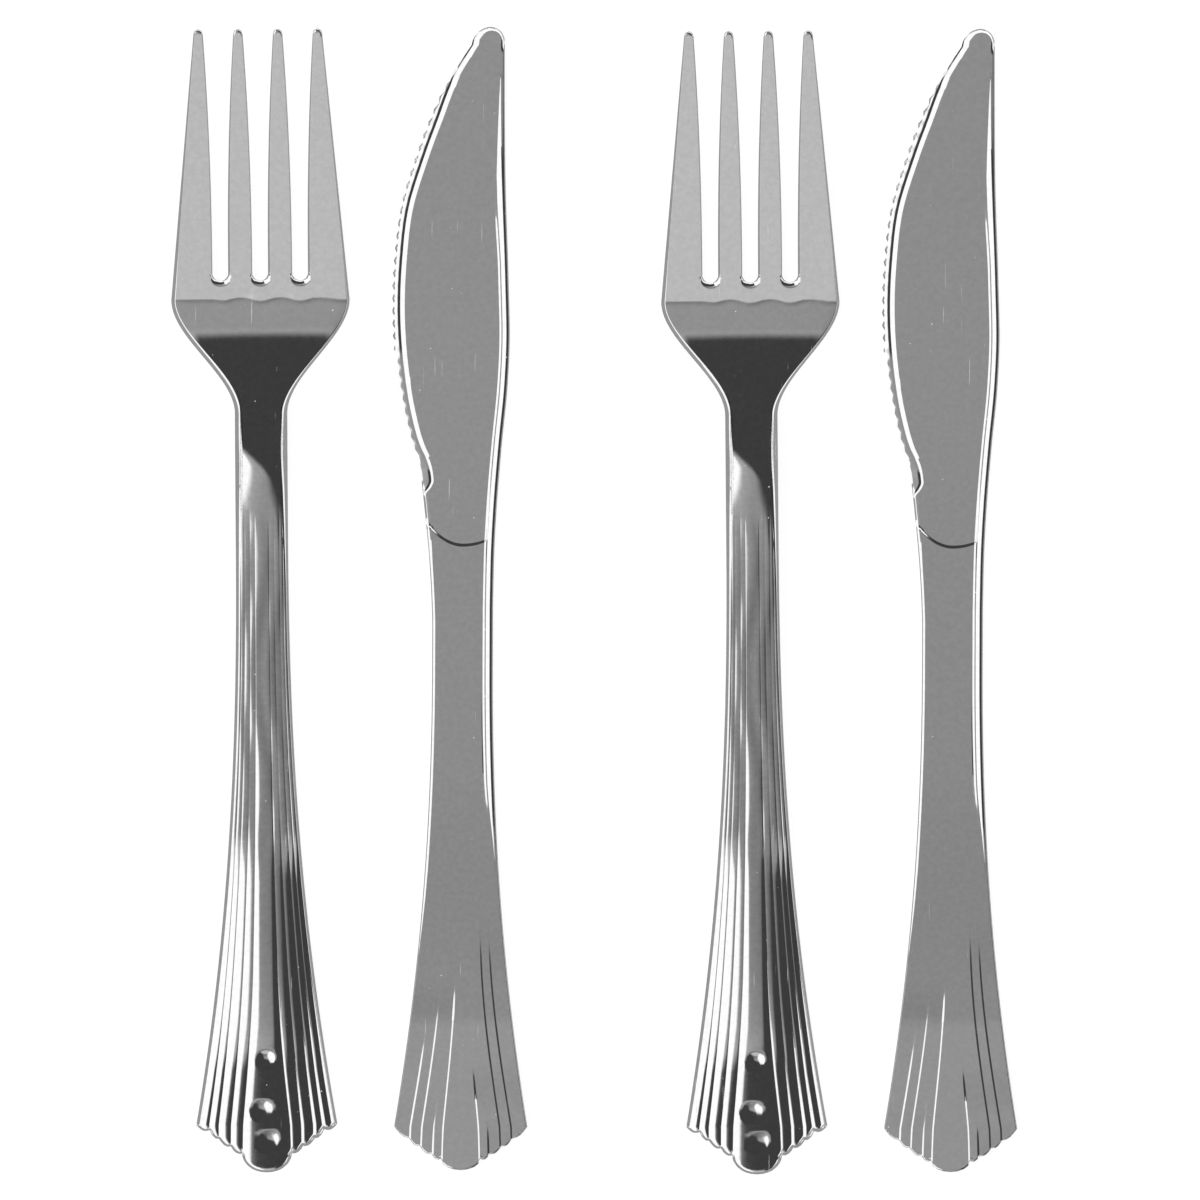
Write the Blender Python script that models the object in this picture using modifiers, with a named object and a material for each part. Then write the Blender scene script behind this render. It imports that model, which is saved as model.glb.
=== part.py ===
"""Metallised plastic cutlery: two forks and two knives, laid face up side by side.

Each piece is one moulding. +Y runs from the handle ends to the tips, +Z is up,
and the origin is under the middle of the set, on the surface it lies on.
"""

import math

import bmesh
import bpy
import numpy as np

MM = 0.001

# The set: where the pieces lie and how they are turned
PAIR_PITCH = 81.67 * MM
PAIR_STEP_BACK = 0.33 * MM
FORK_PLACE = (-54.55 * MM, -95.35 * MM)
KNIFE_PLACE = (-22.33 * MM, -95.02 * MM)
FORK_TURN = math.radians(0.45)
KNIFE_TURN = math.radians(-0.215)

# The fan at the handle's end, much the same on both patterns
FORK_CORNER = 8.0 * MM
KNIFE_CORNER = 7.3 * MM
FAN_BLEND = 14.0 * MM
LOBE_BULGE = 0.5 * MM
LOBES = 4
REED_GATHER = 35.0 * MM
EDGE_ROUND = 0.4 * MM

# Fork lengths, one after the other from the handle's end
HANDLE_TO_CREST = 108.0 * MM
CREST_TO_SHOULDER = 18.5 * MM
SHOULDER_LENGTH = 19.0 * MM
PALM_LENGTH = 3.25 * MM
TINE_LENGTH = 41.75 * MM
FORK_FLARE_SHORT = 3.0 * MM
REST_FROM_END = 25.0 * MM
BOWL_SHORT_OF_SHOULDER_END = 2.5 * MM

# Fork widths
FORK_FAN_WIDTH = 23.6 * MM
FORK_NECK_WIDTH = 8.8 * MM
FORK_HEAD_WIDTH = 29.8 * MM
SLOT_WIDTH = 2.55 * MM
SLOT_PITCH = 6.65 * MM
TINE_TIP_WIDTH = 1.64 * MM
TINE_TIP_PITCH = 6.62 * MM

# Fork walls, rises and slopes, seen from the side
CREST_RISE = 5.0 * MM
END_SLOPE = 0.13
END_BEND = 8.0 * MM
TINE_SLOPE = 0.185
TINE_BEND = 4.0 * MM
HANDLE_WALL = 2.6 * MM
NECK_WALL = 3.0 * MM
BOWL_WALL = 2.2 * MM
TINE_TIP_WALL = 1.5 * MM

# The fork's crowned and reeded face
FAN_CROWN = 2.0 * MM
GRIP_CROWN = 0.35 * MM
CROWN_FULL = 28.0 * MM
CROWN_RUN = 34.0 * MM
REED_DEPTH = 0.3 * MM
REED_RUN_OUT = 14.0 * MM

# Three round hollows in the fork's middle reed: place along, place across, radius
HOLLOWS = (
    (18.9 * MM, 0.0 * MM, 1.7 * MM),
    (9.9 * MM, -0.1 * MM, 2.4 * MM),
    (4.6 * MM, 0.5 * MM, 1.8 * MM),
)
HOLLOW_DEPTH = 0.35 * MM

# Knife lengths: the grip from the handle's end, the blade from the bolster
GRIP_LENGTH = 104.0 * MM
BLADE_LENGTH = 86.7 * MM
BOLSTER_SAG = 2.6 * MM
KNIFE_FLARE_SHORT = 20.0 * MM
STEPS_FULL = 26.0 * MM
STEPS_RUN = 24.0 * MM
FAN_DROP_RUN = 14.0 * MM
NOTCH_AHEAD = 7.5 * MM
NOTCH_LENGTH = 4.5 * MM
TEETH_AHEAD = 13.0 * MM
TEETH_SHORT_OF_TIP = 4.7 * MM
TOOTH_PITCH = 2.1 * MM
TOOTH_DEPTH = 0.55 * MM
FLANGE_RUN_OUT = 14.0 * MM
RIM_RUN_OUT = 12.0 * MM
NOSE_LENGTH = 3.0 * MM
NOSE_LEAN = 0.35 * MM

# Knife widths and heights
KNIFE_FAN_WIDTH = 22.3 * MM
KNIFE_GRIP_WIDTH = 10.2 * MM
BELLY = 6.95 * MM
SPINE_SWELL = 2.6 * MM
GRIP_HEIGHT = 2.4 * MM
GRIP_RIM_HEIGHT = 0.2 * MM
FAN_DROP = 0.5 * MM
BLADE_HEIGHT = 1.6 * MM
SPINE_RIM_HEIGHT = 0.4 * MM
RIM_WIDTH = 1.7 * MM
FLANGE_HEIGHT = 0.6 * MM
FLANGE_WIDTH = 1.0 * MM
BEVEL_WIDTH = 1.1 * MM
STEP_DOWN = 0.16 * MM
STEP_RUN = 0.4 * MM

# Where the fan's lobes part, as shares of the half width, and how far back each cusp lies
FORK_CUSPS = (
    (0.343, 3.17 * MM), (0.511, 4.37 * MM), (0.681, 5.67 * MM), (0.814, 7.1 * MM), (1.0, FORK_CORNER),
)
FORK_REEDS = (0.20, 0.43, 0.65, 0.80)
KNIFE_CUSPS = (
    (0.28, 1.9 * MM), (0.42, 2.7 * MM), (0.598, 4.0 * MM), (0.766, 5.3 * MM), (1.0, KNIFE_CORNER),
)
KNIFE_STEPS = (0.12, 0.26, 0.42, 0.60)

# How sharply the outlines sweep: a higher power keeps the narrow part narrow for longer
FORK_SWEEP = 2.3
KNIFE_SWEEP = 2.1
TINE_SWEEP = 2.2

# The blade's two sides: shares of the blade's length, shares of the spine's swell or the belly
SPINE_SHAPE = (
    (-0.115, 0.0), (0.0, 0.08), (0.08, 0.22), (0.195, 0.52), (0.31, 0.88),
    (0.39, 1.0), (0.51, 0.92), (0.69, 0.71), (1.0, 0.61),
)
EDGE_SHAPE = (
    (-0.14, 0.0), (-0.07, 0.04), (0.0, 0.105), (0.06, 0.18), (0.115, 0.255), (0.15, 0.315),
    (0.19, 0.52), (0.255, 0.73), (0.345, 0.91), (0.45, 1.0), (0.555, 0.955), (0.66, 0.79),
    (0.74, 0.49), (0.83, 0.075), (0.895, -0.315), (0.958, -0.835),
)

# How finely the faces are divided
FORK_MIDDLE_COLUMNS = (-0.92, -0.68, -0.35, 0.0, 0.35, 0.68, 0.92)
KNIFE_MIDDLE_COLUMNS = (-1.0, -0.82, -0.45, 0.0, 0.45, 0.82, 1.0)
HANDLE_ROWS = (0.19, 0.27, 0.36, 0.46, 0.57, 0.70, 0.85, 1.0)
NECK_ROWS = (0.3, 0.6, 1.0)
SHOULDER_ROWS = (0.16, 0.3, 0.42, 0.52, 0.62, 0.73, 0.86, 1.0)
TINE_ROWS = (0.0, 0.15, 0.35, 0.6, 0.82)
TINE_COLUMNS = 3
SLOT_COLUMNS = 4
TOOTHED_ROWS = 12
NOSE_POINTS = 6
HOLLOW_POINTS = 16


def clear_scene():
    for obj in list(bpy.data.objects):
        bpy.data.objects.remove(obj, do_unlink=True)


def collection(name):
    group = bpy.data.collections.new(name)
    bpy.context.scene.collection.children.link(group)
    return group


def metallised_plastic(name):
    material = bpy.data.materials.new(name)
    material.use_nodes = True
    shader = material.node_tree.nodes["Principled BSDF"]
    shader.inputs["Base Color"].default_value = (0.80, 0.80, 0.81, 1.0)
    shader.inputs["Metallic"].default_value = 1.0
    shader.inputs["Roughness"].default_value = 0.12
    return material


def ease(share):
    """A smooth step from 0 to 1."""
    share = min(max(share, 0.0), 1.0)
    return share * share * (3.0 - 2.0 * share)


def mix(start, end, share):
    return start + (end - start) * share


def spaced(start, end, shares):
    return [mix(start, end, share) for share in shares]


def through(points, place):
    """The height, at a place, of the smooth curve that passes through the points."""
    places, heights = np.array(points, dtype=float).T
    slopes = np.gradient(heights, places)
    i = int(np.clip(np.searchsorted(places, place) - 1, 0, len(places) - 2))
    run = places[i + 1] - places[i]
    t = (place - places[i]) / run
    ends = (2 * t**3 - 3 * t**2 + 1) * heights[i] + (3 * t**2 - 2 * t**3) * heights[i + 1]
    leans = (t**3 - 2 * t**2 + t) * slopes[i] + (t**3 - t**2) * slopes[i + 1]
    return float(ends + leans * run)


def bend_away(distance, bend, slope):
    """Height of a line that bends away from level over a length, then runs straight."""
    if distance < bend:
        return slope * distance**2 / (2.0 * bend)
    return slope * (distance - bend / 2.0)


def flare(along, start, end, fan_width, neck_width, sweep):
    """Half width of a handle that flares towards its end in one smooth sweep."""
    share = min(max((end - along) / (end - start), 0.0), 1.0)
    return mix(neck_width, fan_width, share**sweep) / 2.0


# The scalloped fan. A column is (side, lobe, place in the lobe). Side -1 is left and 1 is
# right, and side 0 is the middle lobe, where the place runs from -1 to 1.


def fan_columns(inside, middle):
    right = [(1, lobe, t) for lobe in range(LOBES) for t in inside]
    if inside[-1] < 1.0:
        right.append((1, LOBES - 1, 1.0))
    left = [(-1, lobe, t) for _, lobe, t in reversed(right)]
    return left + [(0, 0, t) for t in middle] + right


def share_at(column, marks):
    """The share of the half width of one column, where the lobes part at these marks."""
    side, lobe, t = column
    if side == 0:
        return marks[0] * t
    edges = list(marks) + [1.0]
    return side * mix(edges[lobe], edges[lobe + 1], t)


def cusp_marks(cusps):
    return [mark for mark, _ in cusps[:-1]]


def gathered_marks(along, cusps, marks_above):
    """Where the lobes part, at a distance from the handle's end."""
    share = ease(along / REED_GATHER)
    return [mix(mark, above, share) for mark, above in zip(cusp_marks(cusps), marks_above)]


def fan_edge(share, cusps):
    """How far back the scalloped end lies, at a share of the half width."""
    share = abs(share)
    middle, middle_back = cusps[0]
    if share < middle:
        return middle_back * (1.0 - math.sqrt(1.0 - (share / middle) ** 2))
    for (start, start_back), (end, end_back) in zip(cusps, cusps[1:]):
        if share <= end:
            t = (share - start) / (end - start)
            return mix(start_back, end_back, t) - 4.0 * LOBE_BULGE * t * (1.0 - t)
    return cusps[-1][1]


# Faces between rows of points, and the closed body they make


def strip(mesh, lower, upper):
    """Faces between two rows of points that run the same way, and may hold unlike numbers."""
    low = [mesh.verts.new(point) for point in lower]
    high = [mesh.verts.new(point) for point in upper]
    if len(low) == len(high):
        for i in range(len(low) - 1):
            mesh.faces.new((low[i], low[i + 1], high[i + 1], high[i]))
        return
    along = (low[-1].co - low[0].co).normalized()
    i = j = 0
    while i < len(low) - 1 or j < len(high) - 1:
        low_is_behind = i < len(low) - 1 and (
            j == len(high) - 1 or low[i + 1].co.dot(along) <= high[j + 1].co.dot(along)
        )
        if low_is_behind:
            mesh.faces.new((low[i], low[i + 1], high[j]))
            i += 1
        else:
            mesh.faces.new((low[i], high[j + 1], high[j]))
            j += 1


def skin(mesh, rows):
    for lower, upper in zip(rows, rows[1:]):
        strip(mesh, lower, upper)


def side_wall(mesh, top_rows, back_rows, end):
    """The wall along one end of the rows: 0 is their left end and -1 their right."""
    strip(mesh, [row[end] for row in top_rows], [row[end] for row in back_rows])


def close_up(mesh, name, lowest_rounded):
    """Weld the faces into one closed body, and mark the outline edges that are rounded."""
    bmesh.ops.remove_doubles(mesh, verts=mesh.verts, dist=0.002 * MM)
    bmesh.ops.recalc_face_normals(mesh, faces=mesh.faces)
    weight = mesh.edges.layers.float.new("bevel_weight_edge")
    for edge in mesh.edges:
        outline = edge.calc_face_angle(0.0) > math.radians(50.0)
        if outline and min(vert.co.z for vert in edge.verts) >= lowest_rounded:
            edge[weight] = 1.0
    data = bpy.data.meshes.new(name)
    mesh.to_mesh(data)
    mesh.free()
    data.shade_smooth()
    data.set_sharp_from_angle(angle=math.radians(35.0))
    return data


# The fork's form

FORK_CREST = HANDLE_TO_CREST
SHOULDER_START = FORK_CREST + CREST_TO_SHOULDER
SHOULDER_END = SHOULDER_START + SHOULDER_LENGTH
FORK_BOWL = SHOULDER_END - BOWL_SHORT_OF_SHOULDER_END
SLOT_ROOT = SHOULDER_END + PALM_LENGTH
TINE_START = SLOT_ROOT + SLOT_WIDTH / 2.0
FORK_LENGTH = SLOT_ROOT + TINE_LENGTH
TINE_END = FORK_LENGTH - TINE_TIP_WIDTH / 2.0
TINE_SPREAD = 3 * TINE_TIP_PITCH + TINE_TIP_WIDTH


def fork_half_width(along):
    if along < SHOULDER_START:
        flare_end = FORK_CREST - FORK_FLARE_SHORT
        return flare(along, FORK_CORNER, flare_end, FORK_FAN_WIDTH, FORK_NECK_WIDTH, FORK_SWEEP)
    if along < SHOULDER_END:
        share = (along - SHOULDER_START) / SHOULDER_LENGTH
        return mix(FORK_NECK_WIDTH, FORK_HEAD_WIDTH, ease(share)) / 2.0
    share = (along - SHOULDER_END) / (TINE_END - SHOULDER_END)
    return mix(FORK_HEAD_WIDTH, TINE_SPREAD, share) / 2.0


def fork_wall(along):
    if along < FORK_CREST:
        share = (along - REST_FROM_END) / (FORK_CREST - REST_FROM_END)
        return mix(HANDLE_WALL, NECK_WALL, ease(share))
    if along < FORK_BOWL:
        return mix(NECK_WALL, BOWL_WALL, ease((along - FORK_CREST) / (FORK_BOWL - FORK_CREST)))
    return mix(BOWL_WALL, TINE_TIP_WALL, (along - FORK_BOWL) / (FORK_LENGTH - FORK_BOWL))


def fork_back_height(along):
    """Height of the underside, which rests under the handle and under the bowl."""
    if along < REST_FROM_END:
        return bend_away(REST_FROM_END - along, END_BEND, END_SLOPE)
    if along < FORK_CREST:
        return CREST_RISE * ease((along - REST_FROM_END) / (FORK_CREST - REST_FROM_END))
    if along < FORK_BOWL:
        return CREST_RISE * ease((FORK_BOWL - along) / (FORK_BOWL - FORK_CREST))
    return bend_away(along - FORK_BOWL, TINE_BEND, TINE_SLOPE)


def reed_dip(column, along):
    """How far a point of a reed lies below its rounded top."""
    side, _, t = column
    fade = ease((SHOULDER_START - along) / REED_RUN_OUT)
    from_top = abs(t) ** 2 if side == 0 else abs(2.0 * t - 1.0)
    return REED_DEPTH * fade * from_top**2


def fork_handle_point(along, column, top, from_end=1.0):
    """A point of the handle, whose face is crowned and reeded and whose back is plain."""
    end_line = fan_edge(share_at(column, cusp_marks(FORK_CUSPS)), FORK_CUSPS)
    place = mix(end_line, along, from_end)
    share = share_at(column, gathered_marks(place, FORK_CUSPS, FORK_REEDS))
    height = fork_back_height(place)
    if top:
        crown = mix(FAN_CROWN, GRIP_CROWN, ease((place - CROWN_FULL) / CROWN_RUN))
        height += fork_wall(place) - crown * share**2 - reed_dip(column, place)
    return (share * fork_half_width(place), place, height)


def fork_head_point(across, along, top):
    height = fork_back_height(along)
    return (across, along, height + fork_wall(along) if top else height)


def slot_centre(number):
    return SLOT_PITCH * (number - 1)


def slot_arc(number):
    """The round bottom of one slot, between its two sides."""
    radius = SLOT_WIDTH / 2.0
    turns = [math.pi * i / SLOT_COLUMNS for i in range(1, SLOT_COLUMNS)]
    centre = slot_centre(number)
    return [(centre - radius * math.cos(a), TINE_START - radius * math.sin(a)) for a in turns]


def tine_sides(number, along):
    """The left and right side of one of the four tines."""
    share = (along - TINE_START) / (TINE_END - TINE_START)
    swept = share**TINE_SWEEP
    tip = TINE_TIP_PITCH * (number - 1.5)
    outer = fork_half_width(along)
    left, right = -outer, outer
    if number > 0:
        left = mix(slot_centre(number - 1) + SLOT_WIDTH / 2.0, tip - TINE_TIP_WIDTH / 2.0, swept)
    if number < 3:
        right = mix(slot_centre(number) - SLOT_WIDTH / 2.0, tip + TINE_TIP_WIDTH / 2.0, swept)
    return left, right


def across_tine(number, along):
    left, right = tine_sides(number, along)
    return [mix(left, right, i / TINE_COLUMNS) for i in range(TINE_COLUMNS + 1)]


def tine_end(number, top):
    """The round tip of a tine, as one row."""
    radius = TINE_TIP_WIDTH / 2.0
    centre = TINE_TIP_PITCH * (number - 1.5)
    turns = [math.pi * i / TINE_COLUMNS for i in range(TINE_COLUMNS + 1)]
    return [
        fork_head_point(centre - radius * math.cos(a), TINE_END + radius * math.sin(a), top)
        for a in turns
    ]


def tine_rows(number, top):
    rows = []
    for along in spaced(TINE_START, FORK_LENGTH, TINE_ROWS):
        rows.append([fork_head_point(across, along, top) for across in across_tine(number, along)])
    return rows + [tine_end(number, top)]


def palm_columns():
    """Places across the slots' roots, for the four tines and the slots between them."""
    columns = []
    for number in range(4):
        columns += [(across, TINE_START) for across in across_tine(number, TINE_START)]
        if number < 3:
            columns += slot_arc(number)
    return columns


def palm_row(along, top):
    narrowed = fork_half_width(along) / fork_half_width(TINE_START)
    return [fork_head_point(across * narrowed, along, top) for across, _ in palm_columns()]


def root_row(top):
    """The row where the tines start, dipping round the bottom of each slot."""
    return [fork_head_point(across, along, top) for across, along in palm_columns()]


def fork_side(mesh, top):
    """The face or the back of the fork: its rows from the end to the roots, and the tines."""
    reeds = fan_columns((0.0, 0.2, 0.8), FORK_MIDDLE_COLUMNS)
    plain = reeds[:: (len(reeds) - 1) // 4]
    body = [[fork_handle_point(FAN_BLEND, column, top, part) for column in reeds] for part in (0.0, 1.0)]
    handle = spaced(0.0, FORK_CREST, HANDLE_ROWS) + spaced(FORK_CREST, SHOULDER_START, NECK_ROWS)
    for along in handle:
        columns = reeds if top else plain
        body.append([fork_handle_point(along, column, top) for column in columns])
    for along in spaced(SHOULDER_START, SHOULDER_END, SHOULDER_ROWS):
        body.append(palm_row(along, top))
    body.append(root_row(top))
    tines = [tine_rows(number, top) for number in range(4)]
    skin(mesh, body)
    for rows in tines:
        skin(mesh, rows)
    return body, tines


def fork_mesh(name):
    mesh = bmesh.new()
    face, face_tines = fork_side(mesh, True)
    back, back_tines = fork_side(mesh, False)
    strip(mesh, face[0], back[0])
    for end in (0, -1):
        side_wall(mesh, face, back, end)
        for face_rows, back_rows in zip(face_tines, back_tines):
            side_wall(mesh, face_rows, back_rows, end)
    for face_rows, back_rows in zip(face_tines, back_tines):
        strip(mesh, face_rows[-1], back_rows[-1])
    tine_and_slot = TINE_COLUMNS + SLOT_COLUMNS
    for number in range(3):
        first = TINE_COLUMNS + number * tine_and_slot
        last = first + SLOT_COLUMNS + 1
        strip(mesh, face[-1][first:last], back[-1][first:last])
    return close_up(mesh, name, 0.0)


def press_hollows(fork, group):
    """Cut the round hollows into the face of one fork, each with its own ball."""
    for number, (along, across, radius) in enumerate(HOLLOWS):
        ball_radius = (radius**2 + HOLLOW_DEPTH**2) / (2.0 * HOLLOW_DEPTH)
        face = fork_back_height(along) + fork_wall(along)
        bpy.ops.mesh.primitive_uv_sphere_add(
            segments=HOLLOW_POINTS, ring_count=HOLLOW_POINTS * 3 // 2, radius=ball_radius
        )
        ball = bpy.context.object
        ball.name = f"{fork.name}_hollow_{number + 1}"
        for owner in list(ball.users_collection):
            owner.objects.unlink(ball)
        group.objects.link(ball)
        ball.parent = fork
        ball.location = (across, along, face + ball_radius - HOLLOW_DEPTH)
        ball.display_type = "WIRE"
        ball.hide_render = True
        cut = fork.modifiers.new(ball.name, "BOOLEAN")
        cut.operation = "DIFFERENCE"
        cut.object = ball


# The knife's form

BOLSTER = GRIP_LENGTH
KNIFE_LENGTH = BOLSTER + BLADE_LENGTH
STEPS_START = STEPS_FULL + STEPS_RUN
NOTCH_START = BOLSTER + NOTCH_AHEAD
TEETH_START = BOLSTER + TEETH_AHEAD
TEETH_END = KNIFE_LENGTH - TEETH_SHORT_OF_TIP
NOSE_START = KNIFE_LENGTH - NOSE_LENGTH


def grip_half_width(along):
    flare_end = BOLSTER - KNIFE_FLARE_SHORT
    return flare(along, KNIFE_CORNER, flare_end, KNIFE_FAN_WIDTH, KNIFE_GRIP_WIDTH, KNIFE_SWEEP)


def beside_grip(shape, full, along):
    """How far one side of the blade stands out past the grip's side."""
    share = (along - BOLSTER) / BLADE_LENGTH
    return full * through(shape, share) if share > shape[0][0] else 0.0


def spine_side(along):
    return grip_half_width(along) + beside_grip(SPINE_SHAPE, SPINE_SWELL, along)


def cutting_side(along):
    return -grip_half_width(along) - beside_grip(EDGE_SHAPE, BELLY, along)


def flange_inside(along):
    """Where the thin toothed flange meets the blade's bevel."""
    width = FLANGE_WIDTH * ease((along - NOTCH_START) / NOTCH_LENGTH)
    return cutting_side(along) + width * ease((TEETH_END - along) / FLANGE_RUN_OUT)


def flange_height(along):
    return mix(BLADE_HEIGHT, FLANGE_HEIGHT, ease((along - NOTCH_START) / NOTCH_LENGTH))


def across_facets(column, marks, half):
    """Place across of one column of the fan, leaving room for a step at each mark."""
    side, lobe, t = column
    if side == 0:
        return t * (marks[0] * half - STEP_RUN / 2.0)
    edges = [mark * half for mark in marks] + [half + STEP_RUN / 2.0]
    return side * mix(edges[lobe] + STEP_RUN / 2.0, edges[lobe + 1] - STEP_RUN / 2.0, t)


def knife_fan_point(along, column, top, from_end=1.0):
    """A point of the fan: flat facets that step down on each side of the middle one."""
    corner = grip_half_width(KNIFE_CORNER)
    share = across_facets(column, cusp_marks(KNIFE_CUSPS), corner) / corner
    place = mix(fan_edge(share, KNIFE_CUSPS), along, from_end)
    marks = gathered_marks(place, KNIFE_CUSPS, KNIFE_STEPS)
    across = across_facets(column, marks, grip_half_width(place))
    if not top:
        return (across, place, 0.0)
    side, lobe, _ = column
    steps = 0 if side == 0 else lobe + 1
    fade = 1.0 - ease((place - STEPS_FULL) / STEPS_RUN)
    dropped = FAN_DROP * ease((STEPS_FULL - place) / FAN_DROP_RUN)
    return (across, place, GRIP_HEIGHT - steps * STEP_DOWN * fade - dropped)


def grip_row(along, top):
    """A row across the grip, with a low rim along its right side."""
    left, right = cutting_side(along), spine_side(along)
    if not top:
        return [(left, along, 0.0), (0.0, along, 0.0), (right, along, 0.0)]
    rim = GRIP_HEIGHT + GRIP_RIM_HEIGHT * ease((along - STEPS_START) / RIM_RUN_OUT)
    foot = right - RIM_WIDTH
    profile = (
        (left, GRIP_HEIGHT), (0.0, GRIP_HEIGHT), (foot, GRIP_HEIGHT), (foot + STEP_RUN, rim), (right, rim),
    )
    return [(across, along, height) for across, height in profile]


def bolster_row(ahead, height, rim_height, top):
    """One curved row where the grip drops to the blade."""
    left = cutting_side(BOLSTER + ahead + BOLSTER_SAG)
    right = spine_side(BOLSTER + ahead + BOLSTER_SAG)
    foot = right - RIM_WIDTH
    places = spaced(left, foot, (0.0, 0.15, 0.35, 0.55, 0.75, 1.0)) + [foot + STEP_RUN, right]
    row = []
    for across in places:
        along = BOLSTER + ahead + BOLSTER_SAG * (across / left) ** 2
        level = height + rim_height if across > foot else height
        row.append((across, along, level if top else 0.0))
    return row


def blade_row(along, top):
    """A row across the blade: the bevel, the flat face, and the raised rim along the spine."""
    inside, right = flange_inside(along), spine_side(along)
    if not top:
        return [(inside, along, 0.0), (right, along, 0.0)]
    bevel_top = inside + BEVEL_WIDTH
    foot = max(right - RIM_WIDTH, mix(bevel_top, right, 0.5))
    rim_top = min(foot + STEP_RUN, mix(foot, right, 0.5))
    rim = BLADE_HEIGHT + SPINE_RIM_HEIGHT * ease((TEETH_END - along) / RIM_RUN_OUT)
    profile = (
        (inside, flange_height(along)), (bevel_top, BLADE_HEIGHT), (mix(bevel_top, foot, 0.5), BLADE_HEIGHT),
        (foot, BLADE_HEIGHT), (rim_top, rim), (right, rim),
    )
    return [(across, along, height) for across, height in profile]


def nose_row(top):
    """The round nose of the blade, as one row."""
    left, right = cutting_side(NOSE_START), spine_side(NOSE_START)
    row = []
    for i in range(NOSE_POINTS + 1):
        turn = math.pi * i / NOSE_POINTS
        across = mix(left, right, (1.0 - math.cos(turn)) / 2.0) + NOSE_LEAN * math.sin(turn)
        along = NOSE_START + NOSE_LENGTH * math.sin(turn)
        row.append((across, along, FLANGE_HEIGHT if top else 0.0))
    return row


def toothed_edge(top):
    """The cutting edge from the notch to the nose, plain at first and then toothed."""
    plain = spaced(NOTCH_START, TEETH_START, (0.0, 0.33, 0.66, 1.0))
    outline = [(cutting_side(along), along) for along in plain]
    half_teeth = 2 * round((TEETH_END - TEETH_START) / TOOTH_PITCH)
    for i in range(1, half_teeth):
        along = mix(TEETH_START, TEETH_END, i / half_teeth)
        room = flange_inside(along) - cutting_side(along)
        depth = min(TOOTH_DEPTH, 0.6 * room) if i % 2 == 0 else 0.0
        outline.append((cutting_side(along) + depth, along))
    outline.append((flange_inside(TEETH_END), TEETH_END))
    return [(across, along, flange_height(along) if top else 0.0) for across, along in outline]


def knife_side(mesh, top):
    """The face or the back of the knife: handle, blade and nose rows, and the toothed edge."""
    facets = fan_columns((0.0, 0.5, 1.0), KNIFE_MIDDLE_COLUMNS)
    plain = [facets[0], facets[len(facets) // 2], facets[-1]]
    handle = [[knife_fan_point(FAN_BLEND, column, top, part) for column in facets] for part in (0.0, 1.0)]
    for along in [mix(FAN_BLEND, STEPS_FULL, 0.6)] + spaced(STEPS_FULL, STEPS_START, (0.0, 0.33, 0.66, 1.0)):
        columns = facets if top else plain
        handle.append([knife_fan_point(along, column, top) for column in columns])
    handle += [grip_row(along, top) for along in spaced(STEPS_START, BOLSTER, (0.2, 0.45, 0.7, 0.88))]
    handle.append(bolster_row(0.0, GRIP_HEIGHT, GRIP_RIM_HEIGHT, top))
    handle.append(bolster_row(STEP_RUN, BLADE_HEIGHT, SPINE_RIM_HEIGHT, top))
    blade = [blade_row(along, top) for along in spaced(NOTCH_START, TEETH_START, (0.0, 0.33, 0.66))]
    for i in range(TOOTHED_ROWS + 1):
        blade.append(blade_row(mix(TEETH_START, TEETH_END, i / TOOTHED_ROWS), top))
    nose = [blade_row(NOSE_START, top), nose_row(top)]
    edge = toothed_edge(top)
    skin(mesh, handle + blade + nose)
    strip(mesh, edge, [row[0] for row in blade])
    return handle, blade, nose, edge


def knife_mesh(name):
    mesh = bmesh.new()
    face = knife_side(mesh, True)
    back = knife_side(mesh, False)
    (handle, blade, nose, edge), (back_handle, back_blade, back_nose, back_edge) = face, back
    strip(mesh, handle[0], back_handle[0])
    side_wall(mesh, handle + blade[:1], back_handle + back_blade[:1], 0)
    strip(mesh, edge, back_edge)
    side_wall(mesh, blade[-1:] + nose, back_blade[-1:] + back_nose, 0)
    strip(mesh, nose[-1], back_nose[-1])
    side_wall(mesh, handle + blade + nose, back_handle + back_blade + back_nose, -1)
    return close_up(mesh, name, (BLADE_HEIGHT + FLANGE_HEIGHT) / 2.0)


# The set put together


def add_piece(name, data, spot, turn, pair):
    piece = bpy.data.objects.new(name, data)
    parts.objects.link(piece)
    piece.location = (spot[0] + pair * PAIR_PITCH, spot[1] - pair * PAIR_STEP_BACK, 0.0)
    piece.rotation_euler = (0.0, 0.0, turn)
    bevel = piece.modifiers.new("rounded_edges", "BEVEL")
    bevel.limit_method = "WEIGHT"
    bevel.width = EDGE_ROUND
    bevel.segments = 1
    return piece


clear_scene()
parts = collection("plastic_cutlery_set")
cutters = collection("cutters")
finish = metallised_plastic("metallised_polystyrene")
fork_data = fork_mesh("fork")
knife_data = knife_mesh("knife")
for data in (fork_data, knife_data):
    data.materials.append(finish)
for pair in (0, 1):
    fork = add_piece(f"fork_{pair + 1}", fork_data, FORK_PLACE, FORK_TURN, pair)
    press_hollows(fork, cutters)
    add_piece(f"knife_{pair + 1}", knife_data, KNIFE_PLACE, KNIFE_TURN, pair)
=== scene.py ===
"""Metallised plastic cutlery set, dressed for the camera over its fixed frame."""

import math
from functools import partial

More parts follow.
